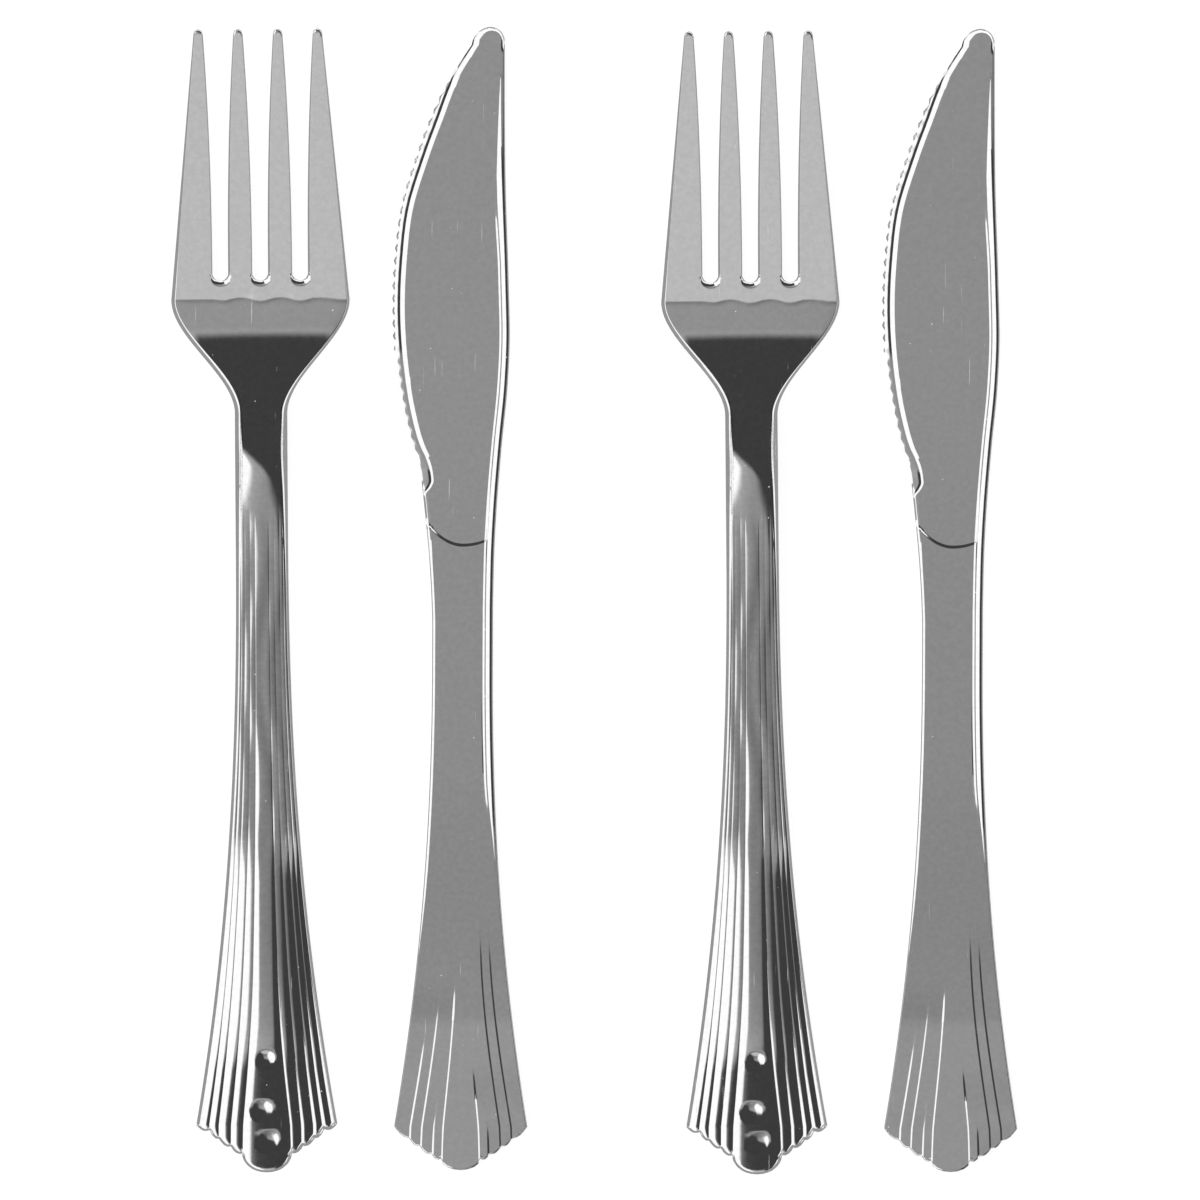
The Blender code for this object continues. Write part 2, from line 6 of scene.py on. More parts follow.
import bpy
import numpy as np
from mathutils.kdtree import KDTree
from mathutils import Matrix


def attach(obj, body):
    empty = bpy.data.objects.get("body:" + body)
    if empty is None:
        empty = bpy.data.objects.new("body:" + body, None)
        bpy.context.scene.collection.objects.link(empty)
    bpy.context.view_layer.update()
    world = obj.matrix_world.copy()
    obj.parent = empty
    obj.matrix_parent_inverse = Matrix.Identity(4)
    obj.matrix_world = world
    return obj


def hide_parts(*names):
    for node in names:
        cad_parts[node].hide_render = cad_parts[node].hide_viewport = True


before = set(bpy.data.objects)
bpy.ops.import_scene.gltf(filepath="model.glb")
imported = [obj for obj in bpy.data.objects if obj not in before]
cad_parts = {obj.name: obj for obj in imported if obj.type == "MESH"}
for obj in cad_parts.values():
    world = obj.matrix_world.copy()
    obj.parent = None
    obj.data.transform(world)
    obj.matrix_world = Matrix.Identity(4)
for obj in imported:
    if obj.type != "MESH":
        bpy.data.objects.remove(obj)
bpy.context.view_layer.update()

# The two forks
# Each is one injection moulding in polystyrene, metallised after it leaves the mould. The
# handle's face is crowned and reeded, the reeds run out at the neck, and three round hollows
# are moulded in the middle reed.

MM = 0.001
FORK_CORNER = 8.0 * MM
FAN_BLEND = 14.0 * MM
LOBE_BULGE = 0.5 * MM
REED_GATHER = 35.0 * MM
FORK_CREST = 108.0 * MM
SHOULDER_START = 126.5 * MM
SHOULDER_END = 145.5 * MM
FORK_FALL = 116.8 * MM
FORK_BOWL = 141.2 * MM
TINES_RISE = 144.9 * MM
SLOT_ROOT = 148.75 * MM
FORK_LENGTH = 190.5 * MM
FORK_FLARE_END = 105.0 * MM
REST_FROM_END = 25.0 * MM
FORK_FAN_WIDTH = 23.6 * MM
FORK_NECK_WIDTH = 8.8 * MM
FORK_HEAD_WIDTH = 29.8 * MM
FORK_SWEEP = 2.3
SLOT_WIDTH = 2.55 * MM
SLOT_PITCH = 6.65 * MM
TINE_TIP_WIDTH = 1.64 * MM
TINE_TIP_PITCH = 6.62 * MM
TINE_SWEEP = 2.2
TINE_START = SLOT_ROOT + SLOT_WIDTH / 2.0
TINE_END = FORK_LENGTH - TINE_TIP_WIDTH / 2.0
TINE_SPREAD = 3 * TINE_TIP_PITCH + TINE_TIP_WIDTH
CREST_RISE = 5.0 * MM
END_SLOPE = 0.13
END_BEND = 8.0 * MM
TINE_SLOPE = 0.185
TINE_BEND = 0.9 * MM
HANDLE_WALL = 2.6 * MM
NECK_WALL = 3.0 * MM
BOWL_WALL = 2.2 * MM
TINE_TIP_WALL = 1.5 * MM
FAN_CROWN = 0.5 * MM
END_CROWN = 0.7 * MM
FAN_CROWN_END = 57.0 * MM
FAN_CROWN_RUN = 9.0 * MM
GRIP_CROWN = 0.1 * MM
CROWN_FULL = 12.0 * MM
RIB_HEIGHT = 0.54 * MM
RIB_FLAT = 0.45
NECK_CROWN = 0.36 * MM
NECK_CROWN_PLACE = 118 * MM
NECK_CROWN_REACH = 7 * MM
PALM_WAVE = 0.34 * MM
NECK_SKEW = 3.2 * MM
SINK_WAVE = 0.02 * MM
FORK_CUSPS = (
    (0.343, 3.17 * MM), (0.511, 4.37 * MM), (0.681, 5.67 * MM), (0.814, 7.1 * MM), (1.0, FORK_CORNER),
)
FORK_REEDS = (0.25, 0.46, 0.66, 0.80)
HOLLOWS = (
    (18.9 * MM, -0.1 * MM, 1.6 * MM),
    (10.4 * MM, -0.75 * MM, 1.85 * MM),
    (5.3 * MM, 0.4 * MM, 1.9 * MM),
)
HOLLOW_DEPTH = 0.3 * MM
PARTING_HEIGHT = 0.18 * MM
PARTING_REACH = 0.35 * MM
LEFT_FLANK = 0.5 * MM
LEFT_HEAD_FLANK = 0.6 * MM
RIGHT_FLANK = 0.4 * MM
LEFT_TIP_FLANK = 0.2 * MM
RIGHT_TIP_FLANK = 0.18 * MM
END_FLANKS = (0.3 * MM, 0.55 * MM)
END_ROUND = 0.3 * MM
FACE_ROUND = 0.14 * MM
NECK_ROUND = 0.75 * MM
SLOT_END_ROUND = 0.9 * MM
TIP_ROUND = 0.4 * MM
SLOT_LEFT_FLANK = 0.2 * MM
SLOT_RIGHT_FLANK = 0.4 * MM
SLOT_ROUND = 0.02 * MM
FLANK_SLOPE = 0.78
EDGE_WALL = 0.04 * MM
SINK_SPACING = 3.1 * MM
SINK_WANDER = 37 * MM
SINK_START = 48 * MM
SINK_END = 113 * MM
NECK_ROUND_START = 95 * MM
SKEW_START = 100 * MM
SKEW_END = 138 * MM
PALM_WAVE_START = 142 * MM
PALM_WAVE_END = 149.6 * MM
RIB_FADE_START = 25 * MM
RIB_FADE = 25 * MM
RIB_END = 112 * MM
REED_FADE_START = 8 * MM
REED_FADE = 20 * MM
DEEP_GROOVES_END = 28 * MM
GROOVES_END = 111 * MM


# Curves and steps that the shapes are drawn with


def mix(start, end, share):
    """The value at a share of the way from start to end."""
    return start + (end - start) * share


def ease(share):
    """A share from 0 to 1 that starts and ends gently."""
    share = np.clip(share, 0.0, 1.0)
    return share * share * (3.0 - 2.0 * share)


def ramp(value, start, end):
    """How far a value has come from start to end, from 0 to 1."""
    return np.clip((value - start) / (end - start), 0.0, 1.0)


def bend_away(distance, bend, slope):
    """Height of a line that bends away from level over a length, then runs straight."""
    distance = np.maximum(distance, 0.0)
    bent = slope * distance**2 / (2.0 * bend)
    return np.where(distance < bend, bent, slope * (distance - bend / 2.0))


def fork_half_width(along):
    """Half the fork's width: its flared handle, its shoulder and its tapering head."""
    flared = ramp(along, FORK_FLARE_END, FORK_CORNER)
    handle = mix(FORK_NECK_WIDTH, FORK_FAN_WIDTH, flared**FORK_SWEEP)
    shoulder = ease((along - SHOULDER_START) / (SHOULDER_END - SHOULDER_START))
    head = mix(FORK_HEAD_WIDTH, TINE_SPREAD, (along - SHOULDER_END) / (TINE_END - SHOULDER_END))
    low = np.where(along < SHOULDER_START, handle, mix(FORK_NECK_WIDTH, FORK_HEAD_WIDTH, shoulder))
    return np.where(along < SHOULDER_END, low, head) / 2.0


def fan_edge(share, cusps):
    """How far back the scalloped end lies, at each share of the half width."""
    share = np.abs(share)
    middle, middle_back = cusps[0]
    back = middle_back * (1.0 - np.sqrt(np.clip(1.0 - (share / middle) ** 2, 0.0, 1.0)))
    for (start, start_back), (end, end_back) in zip(cusps, cusps[1:]):
        t = np.clip((share - start) / (end - start), 0.0, 1.0)
        lobe = mix(start_back, end_back, t) - 4.0 * LOBE_BULGE * t * (1.0 - t)
        back = np.where(share > start, lobe, back)
    return back


def fork_back_height(along):
    """Height of the underside: raised at the end, arched at the neck, rising along the tines."""
    handle = bend_away(REST_FROM_END - along, END_BEND, END_SLOPE)
    rise = ease((along - REST_FROM_END) / (FORK_CREST - REST_FROM_END))
    fall = ease((FORK_BOWL - along) / (FORK_BOWL - FORK_FALL))
    arch = CREST_RISE * np.where(along < FORK_CREST, rise, fall)
    tines = bend_away(along - TINES_RISE, TINE_BEND, TINE_SLOPE)
    return handle + arch + tines


def fork_wall(along):
    """Thickness from the underside to the middle of the face."""
    handle = mix(HANDLE_WALL, NECK_WALL, ease((along - REST_FROM_END) / (FORK_CREST - REST_FROM_END)))
    neck = mix(NECK_WALL, BOWL_WALL, ease((along - FORK_CREST) / (FORK_BOWL - FORK_CREST)))
    tines = mix(BOWL_WALL, TINE_TIP_WALL, (along - FORK_BOWL) / (FORK_LENGTH - FORK_BOWL))
    return np.where(along < FORK_CREST, handle, np.where(along < FORK_BOWL, neck, tines))


def left_flank(along):
    """Width of the drafted wall on the left, which narrows along the tines."""
    handle = mix(LEFT_FLANK, LEFT_HEAD_FLANK, ease((along - FORK_CREST) / (30 * MM)))
    return mix(handle, LEFT_TIP_FLANK, ramp(along, SHOULDER_END, TINE_END))


def right_flank(along):
    """Width of the drafted wall on the right."""
    return mix(RIGHT_FLANK, RIGHT_TIP_FLANK, ramp(along, SHOULDER_END, TINE_END))


def shoulder_round(along):
    """Radius of the rounded edge of the face, largest at the neck."""
    neck = ease((along - NECK_ROUND_START) / (20 * MM)) * ease((SHOULDER_END - along) / (25 * MM))
    tip = ease((along - SHOULDER_END) / (10 * MM))
    return mix(mix(FACE_ROUND, NECK_ROUND, neck), SLOT_ROUND, tip)


EDGE_STEPS = np.array([0.1, 0.3, 0.55, 0.8, 1.08])


def edge_offsets(flank, rounding):
    """Distances in from an outline at which its flank and its rounded edge are drawn."""
    flank = max(float(flank), 2.0 * EDGE_WALL)
    low = [0.0, EDGE_WALL, (EDGE_WALL + flank) / 2.0, flank]
    return np.concatenate([low, flank + float(rounding) * EDGE_STEPS])


def side_offsets(along):
    """The edge's offsets on the left and on the right at one distance along."""
    rounding = shoulder_round(along)
    return edge_offsets(left_flank(along), rounding), edge_offsets(right_flank(along), rounding)


def slot_flank(flank, along):
    """Width of a slot's drafted wall, which narrows to the same thin line at the tips."""
    return mix(flank, LEFT_TIP_FLANK, ramp(along, TINE_START, TINE_END))


def slot_offsets(flank):
    """Distances in from a slot's edge, as edge_offsets gives for the outline."""
    return np.array([0.0, EDGE_WALL] + [flank + SLOT_ROUND * step for step in (0.0, 0.35, 0.7, 1.2)])


def tine_sides(number, along):
    """The left and the right side of one tine, numbered from the left."""
    swept = ramp(along, TINE_START, TINE_END) ** TINE_SWEEP
    tip = TINE_TIP_PITCH * (number - 1.5)
    outer = fork_half_width(along)
    left, right = -outer, outer
    if number > 0:
        root = SLOT_PITCH * (number - 2) + SLOT_WIDTH / 2.0
        left = mix(root, tip - TINE_TIP_WIDTH / 2.0, swept)
    if number < 3:
        root = SLOT_PITCH * (number - 1) - SLOT_WIDTH / 2.0
        right = mix(root, tip + TINE_TIP_WIDTH / 2.0, swept)
    return left, right


TINE_INTERVALS = 17
SLOT_INTERVALS = 12


def across_tine(number, along):
    """Places across one tine at one distance along, close together at its edges."""
    left, right = (float(side) for side in tine_sides(number, along))
    start = slot_offsets(float(slot_flank(SLOT_RIGHT_FLANK, along)))
    stop = slot_offsets(float(slot_flank(SLOT_LEFT_FLANK, along)))
    if number == 0:
        start = side_offsets(along)[0]
    if number == 3:
        stop = side_offsets(along)[1]
    room = (right - left) / (start[-1] + stop[-1] + 0.1 * MM)
    start, stop = start * min(1.0, room), stop * min(1.0, room)
    between = TINE_INTERVALS - len(start) - len(stop) + 2
    middle = np.linspace(left + start[-1], right - stop[-1], between + 1)[1:-1]
    return np.concatenate([left + start, middle, (right - stop)[::-1]])


def slot_end(number, turn):
    """Points round the bottom of the slot on a tine's right, by their turn from its left side."""
    centre, radius = SLOT_PITCH * (number - 1), SLOT_WIDTH / 2.0
    return np.stack([centre - radius * np.cos(turn), TINE_START - radius * np.sin(turn)], axis=1)


def tine_tip(number, turn):
    """Points round a tine's tip, by their turn from its left side."""
    centre, radius = TINE_TIP_PITCH * (number - 1.5), TINE_TIP_WIDTH / 2.0
    return np.stack([centre - radius * np.cos(turn), TINE_END + radius * np.sin(turn)], axis=1)


def root_line():
    """The line where the tines start, dipping round the bottom of each slot."""
    turn = np.pi * np.arange(1, SLOT_INTERVALS) / SLOT_INTERVALS
    places = []
    for number in range(4):
        places += [(across, TINE_START) for across in across_tine(number, TINE_START)]
        if number < 3:
            places += list(slot_end(number, turn))
    return np.array(places)


LOBE_STEPS = np.array([0.0, 0.04, 0.1, 0.2, 0.38, 0.62, 0.8, 0.9, 0.96])
RIB_STEPS = np.array([-1, -.95, -.87, -.77, -.66, -.56, -.42, -.22, 0, .22, .42, .56, .66, .77, .87, .95])


def lobe_columns():
    """Each column between the edges as its lobe's number and its place in the lobe."""
    right = [(lobe, t) for lobe in (1, 2, 3, 4) for t in LOBE_STEPS]
    left = [(-lobe, 1.0 - t) for lobe in (4, 3, 2, 1) for t in LOBE_STEPS]
    return left + [(0, t) for t in RIB_STEPS] + right + [(4, 1.0)]


def handle_row(along):
    """Places across the handle at one distance along: the edges, the lobes and the rib."""
    gather = ease(along / REED_GATHER)
    marks = [mix(cusp, above, gather) for (cusp, _), above in zip(FORK_CUSPS, FORK_REEDS)] + [1.0]
    half = float(fork_half_width(along))
    start, stop = side_offsets(along)
    places = []
    for lobe, t in lobe_columns():
        if lobe == 0:
            places.append(marks[0] * half * t)
            continue
        inner, outer = marks[abs(lobe) - 1] * half, marks[abs(lobe)] * half
        if abs(lobe) == 4:
            outer -= (start if lobe < 0 else stop)[-1]
        places.append(math.copysign(mix(inner, outer, t), lobe))
    return np.concatenate([-half + start[:-1], places, (half - stop[:-1])[::-1]])


def spaced(*runs):
    """Distances in runs of even steps, each run given as its start, its end and its step."""
    parts = []
    for start, end, step in runs:
        count = max(2, round((end - start) / step))
        parts.append(np.linspace(start, end, count, endpoint=False))
    return np.concatenate(parts)


def stretch(side, along):
    """How much longer than its run along the piece a side is, at one distance along."""
    slope = float(side(along + 0.1 * MM) - side(along - 0.1 * MM)) / (0.2 * MM)
    return math.sqrt(1.0 + slope**2)


def straight_row(across, along):
    """Plan places of a row that lies straight across."""
    return np.stack([across, np.full_like(across, along)], axis=1)


def bent_row(columns_at, place):
    """Plan places of a row whose columns lie at different distances along."""
    return np.stack([np.array([columns_at(p)[j] for j, p in enumerate(place)]), place], axis=1)


def fork_body_plan():
    """Plan places of the handle and palm, row by row from the scalloped end to the roots."""
    rows = []
    near_end = ((0, 0.1 * MM, 0.05 * MM), (0.1 * MM, 1.2 * MM, 0.08 * MM), (1.2 * MM, FAN_BLEND, 0.22 * MM))
    for along in spaced(*near_end):
        at_end = handle_row(float(FORK_CORNER)) if along < FORK_CORNER else handle_row(along)
        edge = fan_edge(at_end / fork_half_width(FORK_CORNER), FORK_CUSPS)
        place = along + edge * (1.0 - along / FAN_BLEND)
        rows.append(bent_row(handle_row, place))
    reeded = ((FAN_BLEND, 26 * MM, 0.28 * MM), (26 * MM, FORK_CREST, 0.8 * MM))
    for along in spaced(*reeded, (FORK_CREST, SHOULDER_START, 0.6 * MM)):
        rows.append(straight_row(handle_row(along), along))
    root = root_line()
    for along in spaced((SHOULDER_START, SHOULDER_END, 0.33 * MM)):
        rows.append(palm_row(along, root))
    last = palm_row(SHOULDER_END, root)
    for share in np.linspace(0.0, 1.0, 30):
        rows.append(mix(last, root, share))
    return np.array(rows)


def palm_row(along, root):
    """A row of the shoulder and palm, which passes from the handle's columns to the tines'."""
    half = float(fork_half_width(along))
    reeded = handle_row(along)
    palm = root[:, 0] / fork_half_width(TINE_START) * half
    start, stop = side_offsets(along)
    across = mix(reeded, palm, ease((along - SHOULDER_START) / (SHOULDER_END - SHOULDER_START)))
    steeper = stretch(fork_half_width, along)
    first, last = len(start) - 1, len(across) - len(stop)
    left, right = -half + start[-1] * steeper, half - stop[-1] * steeper
    middle = (across - across[first]) / (across[last] - across[first])
    across = mix(left, right, middle)
    across[: len(start)] = -half + start * steeper
    across[last:] = (half - stop * steeper)[::-1]
    return straight_row(across, along)


def fork_tine_plan(number):
    """Plan places of one tine, row by row from its root to its round tip."""
    rows = []
    for along in spaced((TINE_START, TINE_END, 0.7 * MM)):
        rows.append(straight_row(across_tine(number, along), along))
    chord = straight_row(across_tine(number, TINE_END), TINE_END)
    tip = tine_tip(number, np.pi * np.linspace(0.0, 1.0, TINE_INTERVALS + 1))
    for share in (0.0, 0.3, 0.5, 0.65, 0.78, 0.88, 0.95, 1.0):
        rows.append(mix(chord, tip, share))
    return np.array(rows)


def between_points(points):
    """The points of a line with seven more in each gap."""
    places = np.linspace(0, len(points) - 1, 8 * (len(points) - 1) + 1)
    return np.stack([np.interp(places, np.arange(len(points)), points[:, i]) for i in (0, 1)], axis=1)


def headings(points):
    """The direction of a line at each of its points."""
    steps = np.gradient(points, axis=0)
    return steps / np.linalg.norm(steps, axis=1)[:, None]


LEAST_INSIDE = 0.0006 * MM
BESIDE_POINT = 0.05 * MM


def distance_to(plan, points, directions):
    """Distance from each plan place to a line of close points, and the nearest point's number.

    No place is nearer than the weld reaches, so only the rim that the caller sets to 0 closes.
    """
    tree = KDTree(len(points))
    for i, (across, along) in enumerate(points):
        tree.insert((across, along, 0.0), i)
    tree.balance()
    index = np.array([tree.find((across, along, 0.0))[1] for across, along in plan])
    away, heading = plan - points[index], directions[index]
    beside = np.abs(away[:, 0] * heading[:, 1] - away[:, 1] * heading[:, 0])
    ahead = np.abs((away * heading).sum(axis=1))
    distance = np.where(ahead < BESIDE_POINT, beside, np.hypot(away[:, 0], away[:, 1]))
    return np.maximum(distance, LEAST_INSIDE), index


FORK_OUTLINE_STEP = 0.04 * MM


def fork_outline(end_row):
    """Points all round the fork's outline, each with its flank's width and its rounding."""
    ends = between_points(end_row)
    share = ends[:, 0] / float(fork_half_width(FORK_CORNER))
    parts = [(ends, mix(*END_FLANKS, (share + 1.0) / 2.0), np.full(len(share), END_ROUND))]
    side = np.arange(FORK_CORNER, TINE_END, FORK_OUTLINE_STEP)
    for sign, flank in ((-1, left_flank(side)), (1, right_flank(side))):
        parts.append((np.stack([sign * fork_half_width(side), side], axis=1), flank, shoulder_round(side)))
    inner = np.arange(TINE_START, TINE_END, FORK_OUTLINE_STEP)
    turn = np.linspace(0.0, math.pi, 60)
    for number in range(4):
        left, right = tine_sides(number, inner)
        if number > 0:
            flank = slot_flank(SLOT_RIGHT_FLANK, inner)
            parts.append((np.stack([left, inner], axis=1), flank, np.full(len(inner), SLOT_ROUND)))
        if number < 3:
            flank = slot_flank(SLOT_LEFT_FLANK, inner)
            parts.append((np.stack([right, inner], axis=1), flank, np.full(len(inner), SLOT_ROUND)))
            flank = mix(SLOT_LEFT_FLANK, SLOT_RIGHT_FLANK, turn / math.pi) * (1 - 0.3 * np.sin(turn))
            rounding = mix(SLOT_ROUND, SLOT_END_ROUND, ease(np.sin(turn)))
            parts.append((slot_end(number, turn), flank, rounding))
        rounding = mix(SLOT_ROUND, TIP_ROUND, np.sin(turn))
        parts.append((tine_tip(number, turn), np.full(len(turn), LEFT_TIP_FLANK), rounding))
    directions = np.concatenate([headings(part[0]) for part in parts])
    return [np.concatenate([part[i] for part in parts]) for i in range(3)] + [directions]


def nearest_outline(plan, outline):
    """For each plan place: its distance to the outline, and the flank and rounding there."""
    points, flanks, roundings, directions = outline
    distance, index = distance_to(plan, points, directions)
    return distance, flanks[index], roundings[index]


ROUND_REACH = 0.726


def edge_drop(distance, flank, rounding, height):
    """How far a face falls near its outline: a rounded edge, then a steep drafted flank.

    The edge is an arc up to ROUND_REACH, the sine of the lean at which it meets the flank.
    """
    into = np.clip((flank + rounding - distance) / rounding, 0.0, 1.0)
    rounded = rounding * (1.0 - np.sqrt(1.0 - (ROUND_REACH * into) ** 2))
    corner = rounding * (1.0 - math.sqrt(1.0 - ROUND_REACH**2))
    flank = np.maximum(flank, 2.0 * EDGE_WALL)
    drafted = FLANK_SLOPE * np.clip(flank - distance, 0.0, flank - EDGE_WALL)
    wall = height - corner - FLANK_SLOPE * (flank - EDGE_WALL) - PARTING_HEIGHT
    return rounded + drafted + np.maximum(wall, 0.0) * np.clip(1.0 - distance / EDGE_WALL, 0.0, 1.0)


def fork_heights(plan, share, lobe, edge):
    """Heights of the face and of the back over plan places."""
    across, along = plan[:, 0], plan[:, 1]
    distance, flank, rounding = edge
    back = fork_back_height(along)
    crown = GRIP_CROWN + FAN_CROWN * ease((FAN_CROWN_END - along) / FAN_CROWN_RUN)
    crown = crown + END_CROWN * ease((FAN_CROWN_END - along) / (FAN_CROWN_END - CROWN_FULL))
    crown = crown * ease((SHOULDER_END - along) / (20 * MM))
    crown = crown + NECK_CROWN * np.exp(-(((along - NECK_CROWN_PLACE) / NECK_CROWN_REACH) ** 2))
    scallop = -PALM_WAVE * np.cos(2.0 * np.pi * (across / SLOT_PITCH + 0.5)) * ease((share + 0.6) / 0.3)
    skewed = NECK_SKEW * share * ease((along - SKEW_START) / (8 * MM)) * ease((SKEW_END - along) / (22 * MM))
    on_palm = ease((along - PALM_WAVE_START) / (2 * MM)) * ease((PALM_WAVE_END - along) / (4.2 * MM))
    top = fork_back_height(along + scallop * on_palm + skewed)
    held = 1.0 - flank / fork_half_width(np.maximum(along, FORK_CORNER))
    top = top + fork_wall(along) - crown * np.minimum(np.abs(share), held) ** 2
    rib = np.where(lobe[0] == 0, np.maximum(np.abs(lobe[1]) - RIB_FLAT, 0.0) ** 2, (1 - RIB_FLAT) ** 2)
    rib_fade = np.exp(-np.maximum(along - RIB_FADE_START, 0.0) / RIB_FADE)
    top -= RIB_HEIGHT * rib * (rib_fade * ease((RIB_END - along) / (6 * MM)))
    wander = 1.9 * np.sin(2.0 * np.pi * along / SINK_WANDER) + 0.7
    sunk = np.sin(2.0 * np.pi * across / SINK_SPACING + wander) * (1.0 - share**2)
    top -= SINK_WAVE * sunk * ease((along - SINK_START) / (14 * MM)) * ease((SINK_END - along) / (6 * MM))
    for place, aside, radius in HOLLOWS:
        away = np.hypot(across - aside, along - place) / radius
        top -= HOLLOW_DEPTH * np.clip(1.0 - away**2, 0.0, 1.0)
    top = top - edge_drop(distance, flank, rounding, top - back)
    low = back + PARTING_HEIGHT * np.clip(1.0 - distance / PARTING_REACH, 0.0, 1.0) ** 2
    return top, low


def patch_faces(rows, columns, first, flip):
    """The quads of a grid whose first point has the number first."""
    index = first + np.arange(rows * columns).reshape(rows, columns)
    quads = np.stack([index[:-1, :-1], index[:-1, 1:], index[1:, 1:], index[1:, :-1]], axis=-1)
    quads = quads.reshape(-1, 4)
    return quads[:, ::-1] if flip else quads


def closed_mesh(name, patches, attributes):
    """One closed mesh from patches of grid points, each with a face and a back."""
    points, faces, values = [], [], {key: [] for key in attributes}
    first = 0
    for patch in patches:
        rows, columns = patch["shape"]
        for side, flip in (("top", False), ("low", True)):
            points.append(np.column_stack([patch["plan"], patch[side]]))
            faces.append(patch_faces(rows, columns, first, flip))
            first += rows * columns
            for key in attributes:
                values[key].append(patch[key] * (0.0 if flip and key == "on_face" else 1.0))
    mesh = bpy.data.meshes.new(name)
    mesh.from_pydata(np.concatenate(points).tolist(), [], np.concatenate(faces).tolist())
    for key in attributes:
        layer = mesh.attributes.new(key, "FLOAT", "POINT")
        layer.data.foreach_set("value", np.concatenate(values[key]).astype(np.float32))
    return mesh


def fork_patch(plan_rows, rim_ends):
    """A patch of the fork's grid, with the places on the outline marked as its rim."""
    rim = np.zeros(plan_rows.shape[:2], dtype=bool)
    rim[:, 0] = rim[:, -1] = True
    for row, start, end in rim_ends:
        rim[row, start:end] = True
    return {"shape": rim.shape, "plan": plan_rows.reshape(-1, 2), "rim": rim.ravel()}


RIM_FADE = 0.9 * MM


def fork_base_mesh():
    """The fork before its reeds: crowned, hollowed, with rounded edges and drafted flanks."""
    body_rows = fork_body_plan()
    outline = fork_outline(body_rows[0])
    across_slot, across_both = SLOT_INTERVALS + 1, TINE_INTERVALS + SLOT_INTERVALS
    slots = [TINE_INTERVALS + number * across_both for number in range(3)]
    body = fork_patch(body_rows, [(0, 0, None)] + [(-1, start, start + across_slot) for start in slots])
    tines = [fork_patch(fork_tine_plan(number), [(-1, 0, None)]) for number in range(4)]
    rows, columns = body["shape"]
    lobes = lobe_columns()
    extra = (columns - len(lobes)) // 2
    lobes = [(-4, 1.0)] * extra + lobes + [(4, 1.0)] * extra
    body["lobe"] = [np.tile([item[i] for item in lobes], rows) for i in range(2)]
    along = body["plan"][:, 1]
    half = fork_half_width(np.maximum(along, FORK_CORNER))
    body["share"] = body["plan"][:, 0] / half
    at_end = np.array([mark for mark, _ in FORK_CUSPS[:-1]] + [1.0])
    marks = mix(at_end, np.array(FORK_REEDS + (1.0,)), ease(along / REED_GATHER)[:, None])
    number = np.abs(body["lobe"][0]).astype(int)
    each = np.arange(len(half))
    body["reed_width"] = np.where(number > 0, marks[each, number] - marks[each, number - 1], 0.0) * half
    body["reed_place"] = np.where(number > 0, body["lobe"][1], 0.5)
    on_reed = (number > 0) * ease((SHOULDER_START - along) / (4 * MM))
    body["reed_fade"] = on_reed * np.exp(-np.maximum(along - REED_FADE_START, 0.0) / REED_FADE)
    upper = mix(0.5, 0.35, ease((along - 55 * MM) / (10 * MM)))
    deeper = mix(upper, 1.0, ease((DEEP_GROOVES_END - along) / (8 * MM)))
    body["groove_fade"] = on_reed * deeper * ease((GROOVES_END - along) / (5 * MM))
    for patch in tines:
        count = len(patch["plan"])
        patch["lobe"] = [np.ones(count), np.zeros(count)]
        patch["share"] = patch["plan"][:, 0] / fork_half_width(patch["plan"][:, 1])
        for key in ("reed_width", "reed_place", "reed_fade", "groove_fade"):
            patch[key] = np.zeros(count)
        patch["reed_width"] += MM
    for patch in [body] + tines:
        edge = nearest_outline(patch["plan"], outline)
        edge[0][patch["rim"]] = 0.0
        patch["top"], patch["low"] = fork_heights(patch["plan"], patch["share"], patch["lobe"], edge)
        inside = ease(edge[0] / RIM_FADE)
        patch["reed_fade"] = patch["reed_fade"] * inside
        patch["groove_fade"] = patch["groove_fade"] * inside
        patch["on_face"] = np.ones(len(patch["plan"]))
    keys = ("reed_width", "reed_place", "reed_fade", "groove_fade", "on_face")
    return closed_mesh("fork_base", [body] + tines, keys)


def add_node(tree, kind, links=(), **settings):
    """Add one node with its settings, and link or set its inputs, in order or by name."""
    node = tree.nodes.new(kind)
    for key, value in settings.items():
        setattr(node, key, value)
    for key, value in links.items() if isinstance(links, dict) else enumerate(links):
        if isinstance(value, bpy.types.Node):
            value = value.outputs[0]
        if isinstance(value, bpy.types.NodeSocket):
            tree.links.new(value, node.inputs[key])
        else:
            node.inputs[key].default_value = value
    return node


WELD = 0.0005 * MM
SHARP_ANGLE = 22.0
MATHS = "ShaderNodeMath"
MEASURE = "GeometryNodeInputNamedAttribute"


def linear(hex_colour):
    """An sRGB hex colour as linear RGBA."""
    parts = [int(hex_colour[i:i + 2], 16) / 255.0 for i in (1, 3, 5)]
    return tuple(c / 12.92 if c <= 0.04045 else ((c + 0.055) / 1.055) ** 2.4 for c in parts) + (1.0,)


def face_tree(name, sizes):
    """A new Geometry Nodes tree with a named input for each size, and its input sockets."""
    tree = bpy.data.node_groups.new(name, "GeometryNodeTree")
    tree.interface.new_socket("Geometry", in_out="INPUT", socket_type="NodeSocketGeometry")
    for size in sizes + ("Weld",):
        tree.interface.new_socket(size, in_out="INPUT", socket_type="NodeSocketFloat")
    tree.interface.new_socket("Geometry", in_out="OUTPUT", socket_type="NodeSocketGeometry")
    return tree, tree.nodes.new("NodeGroupInput").outputs


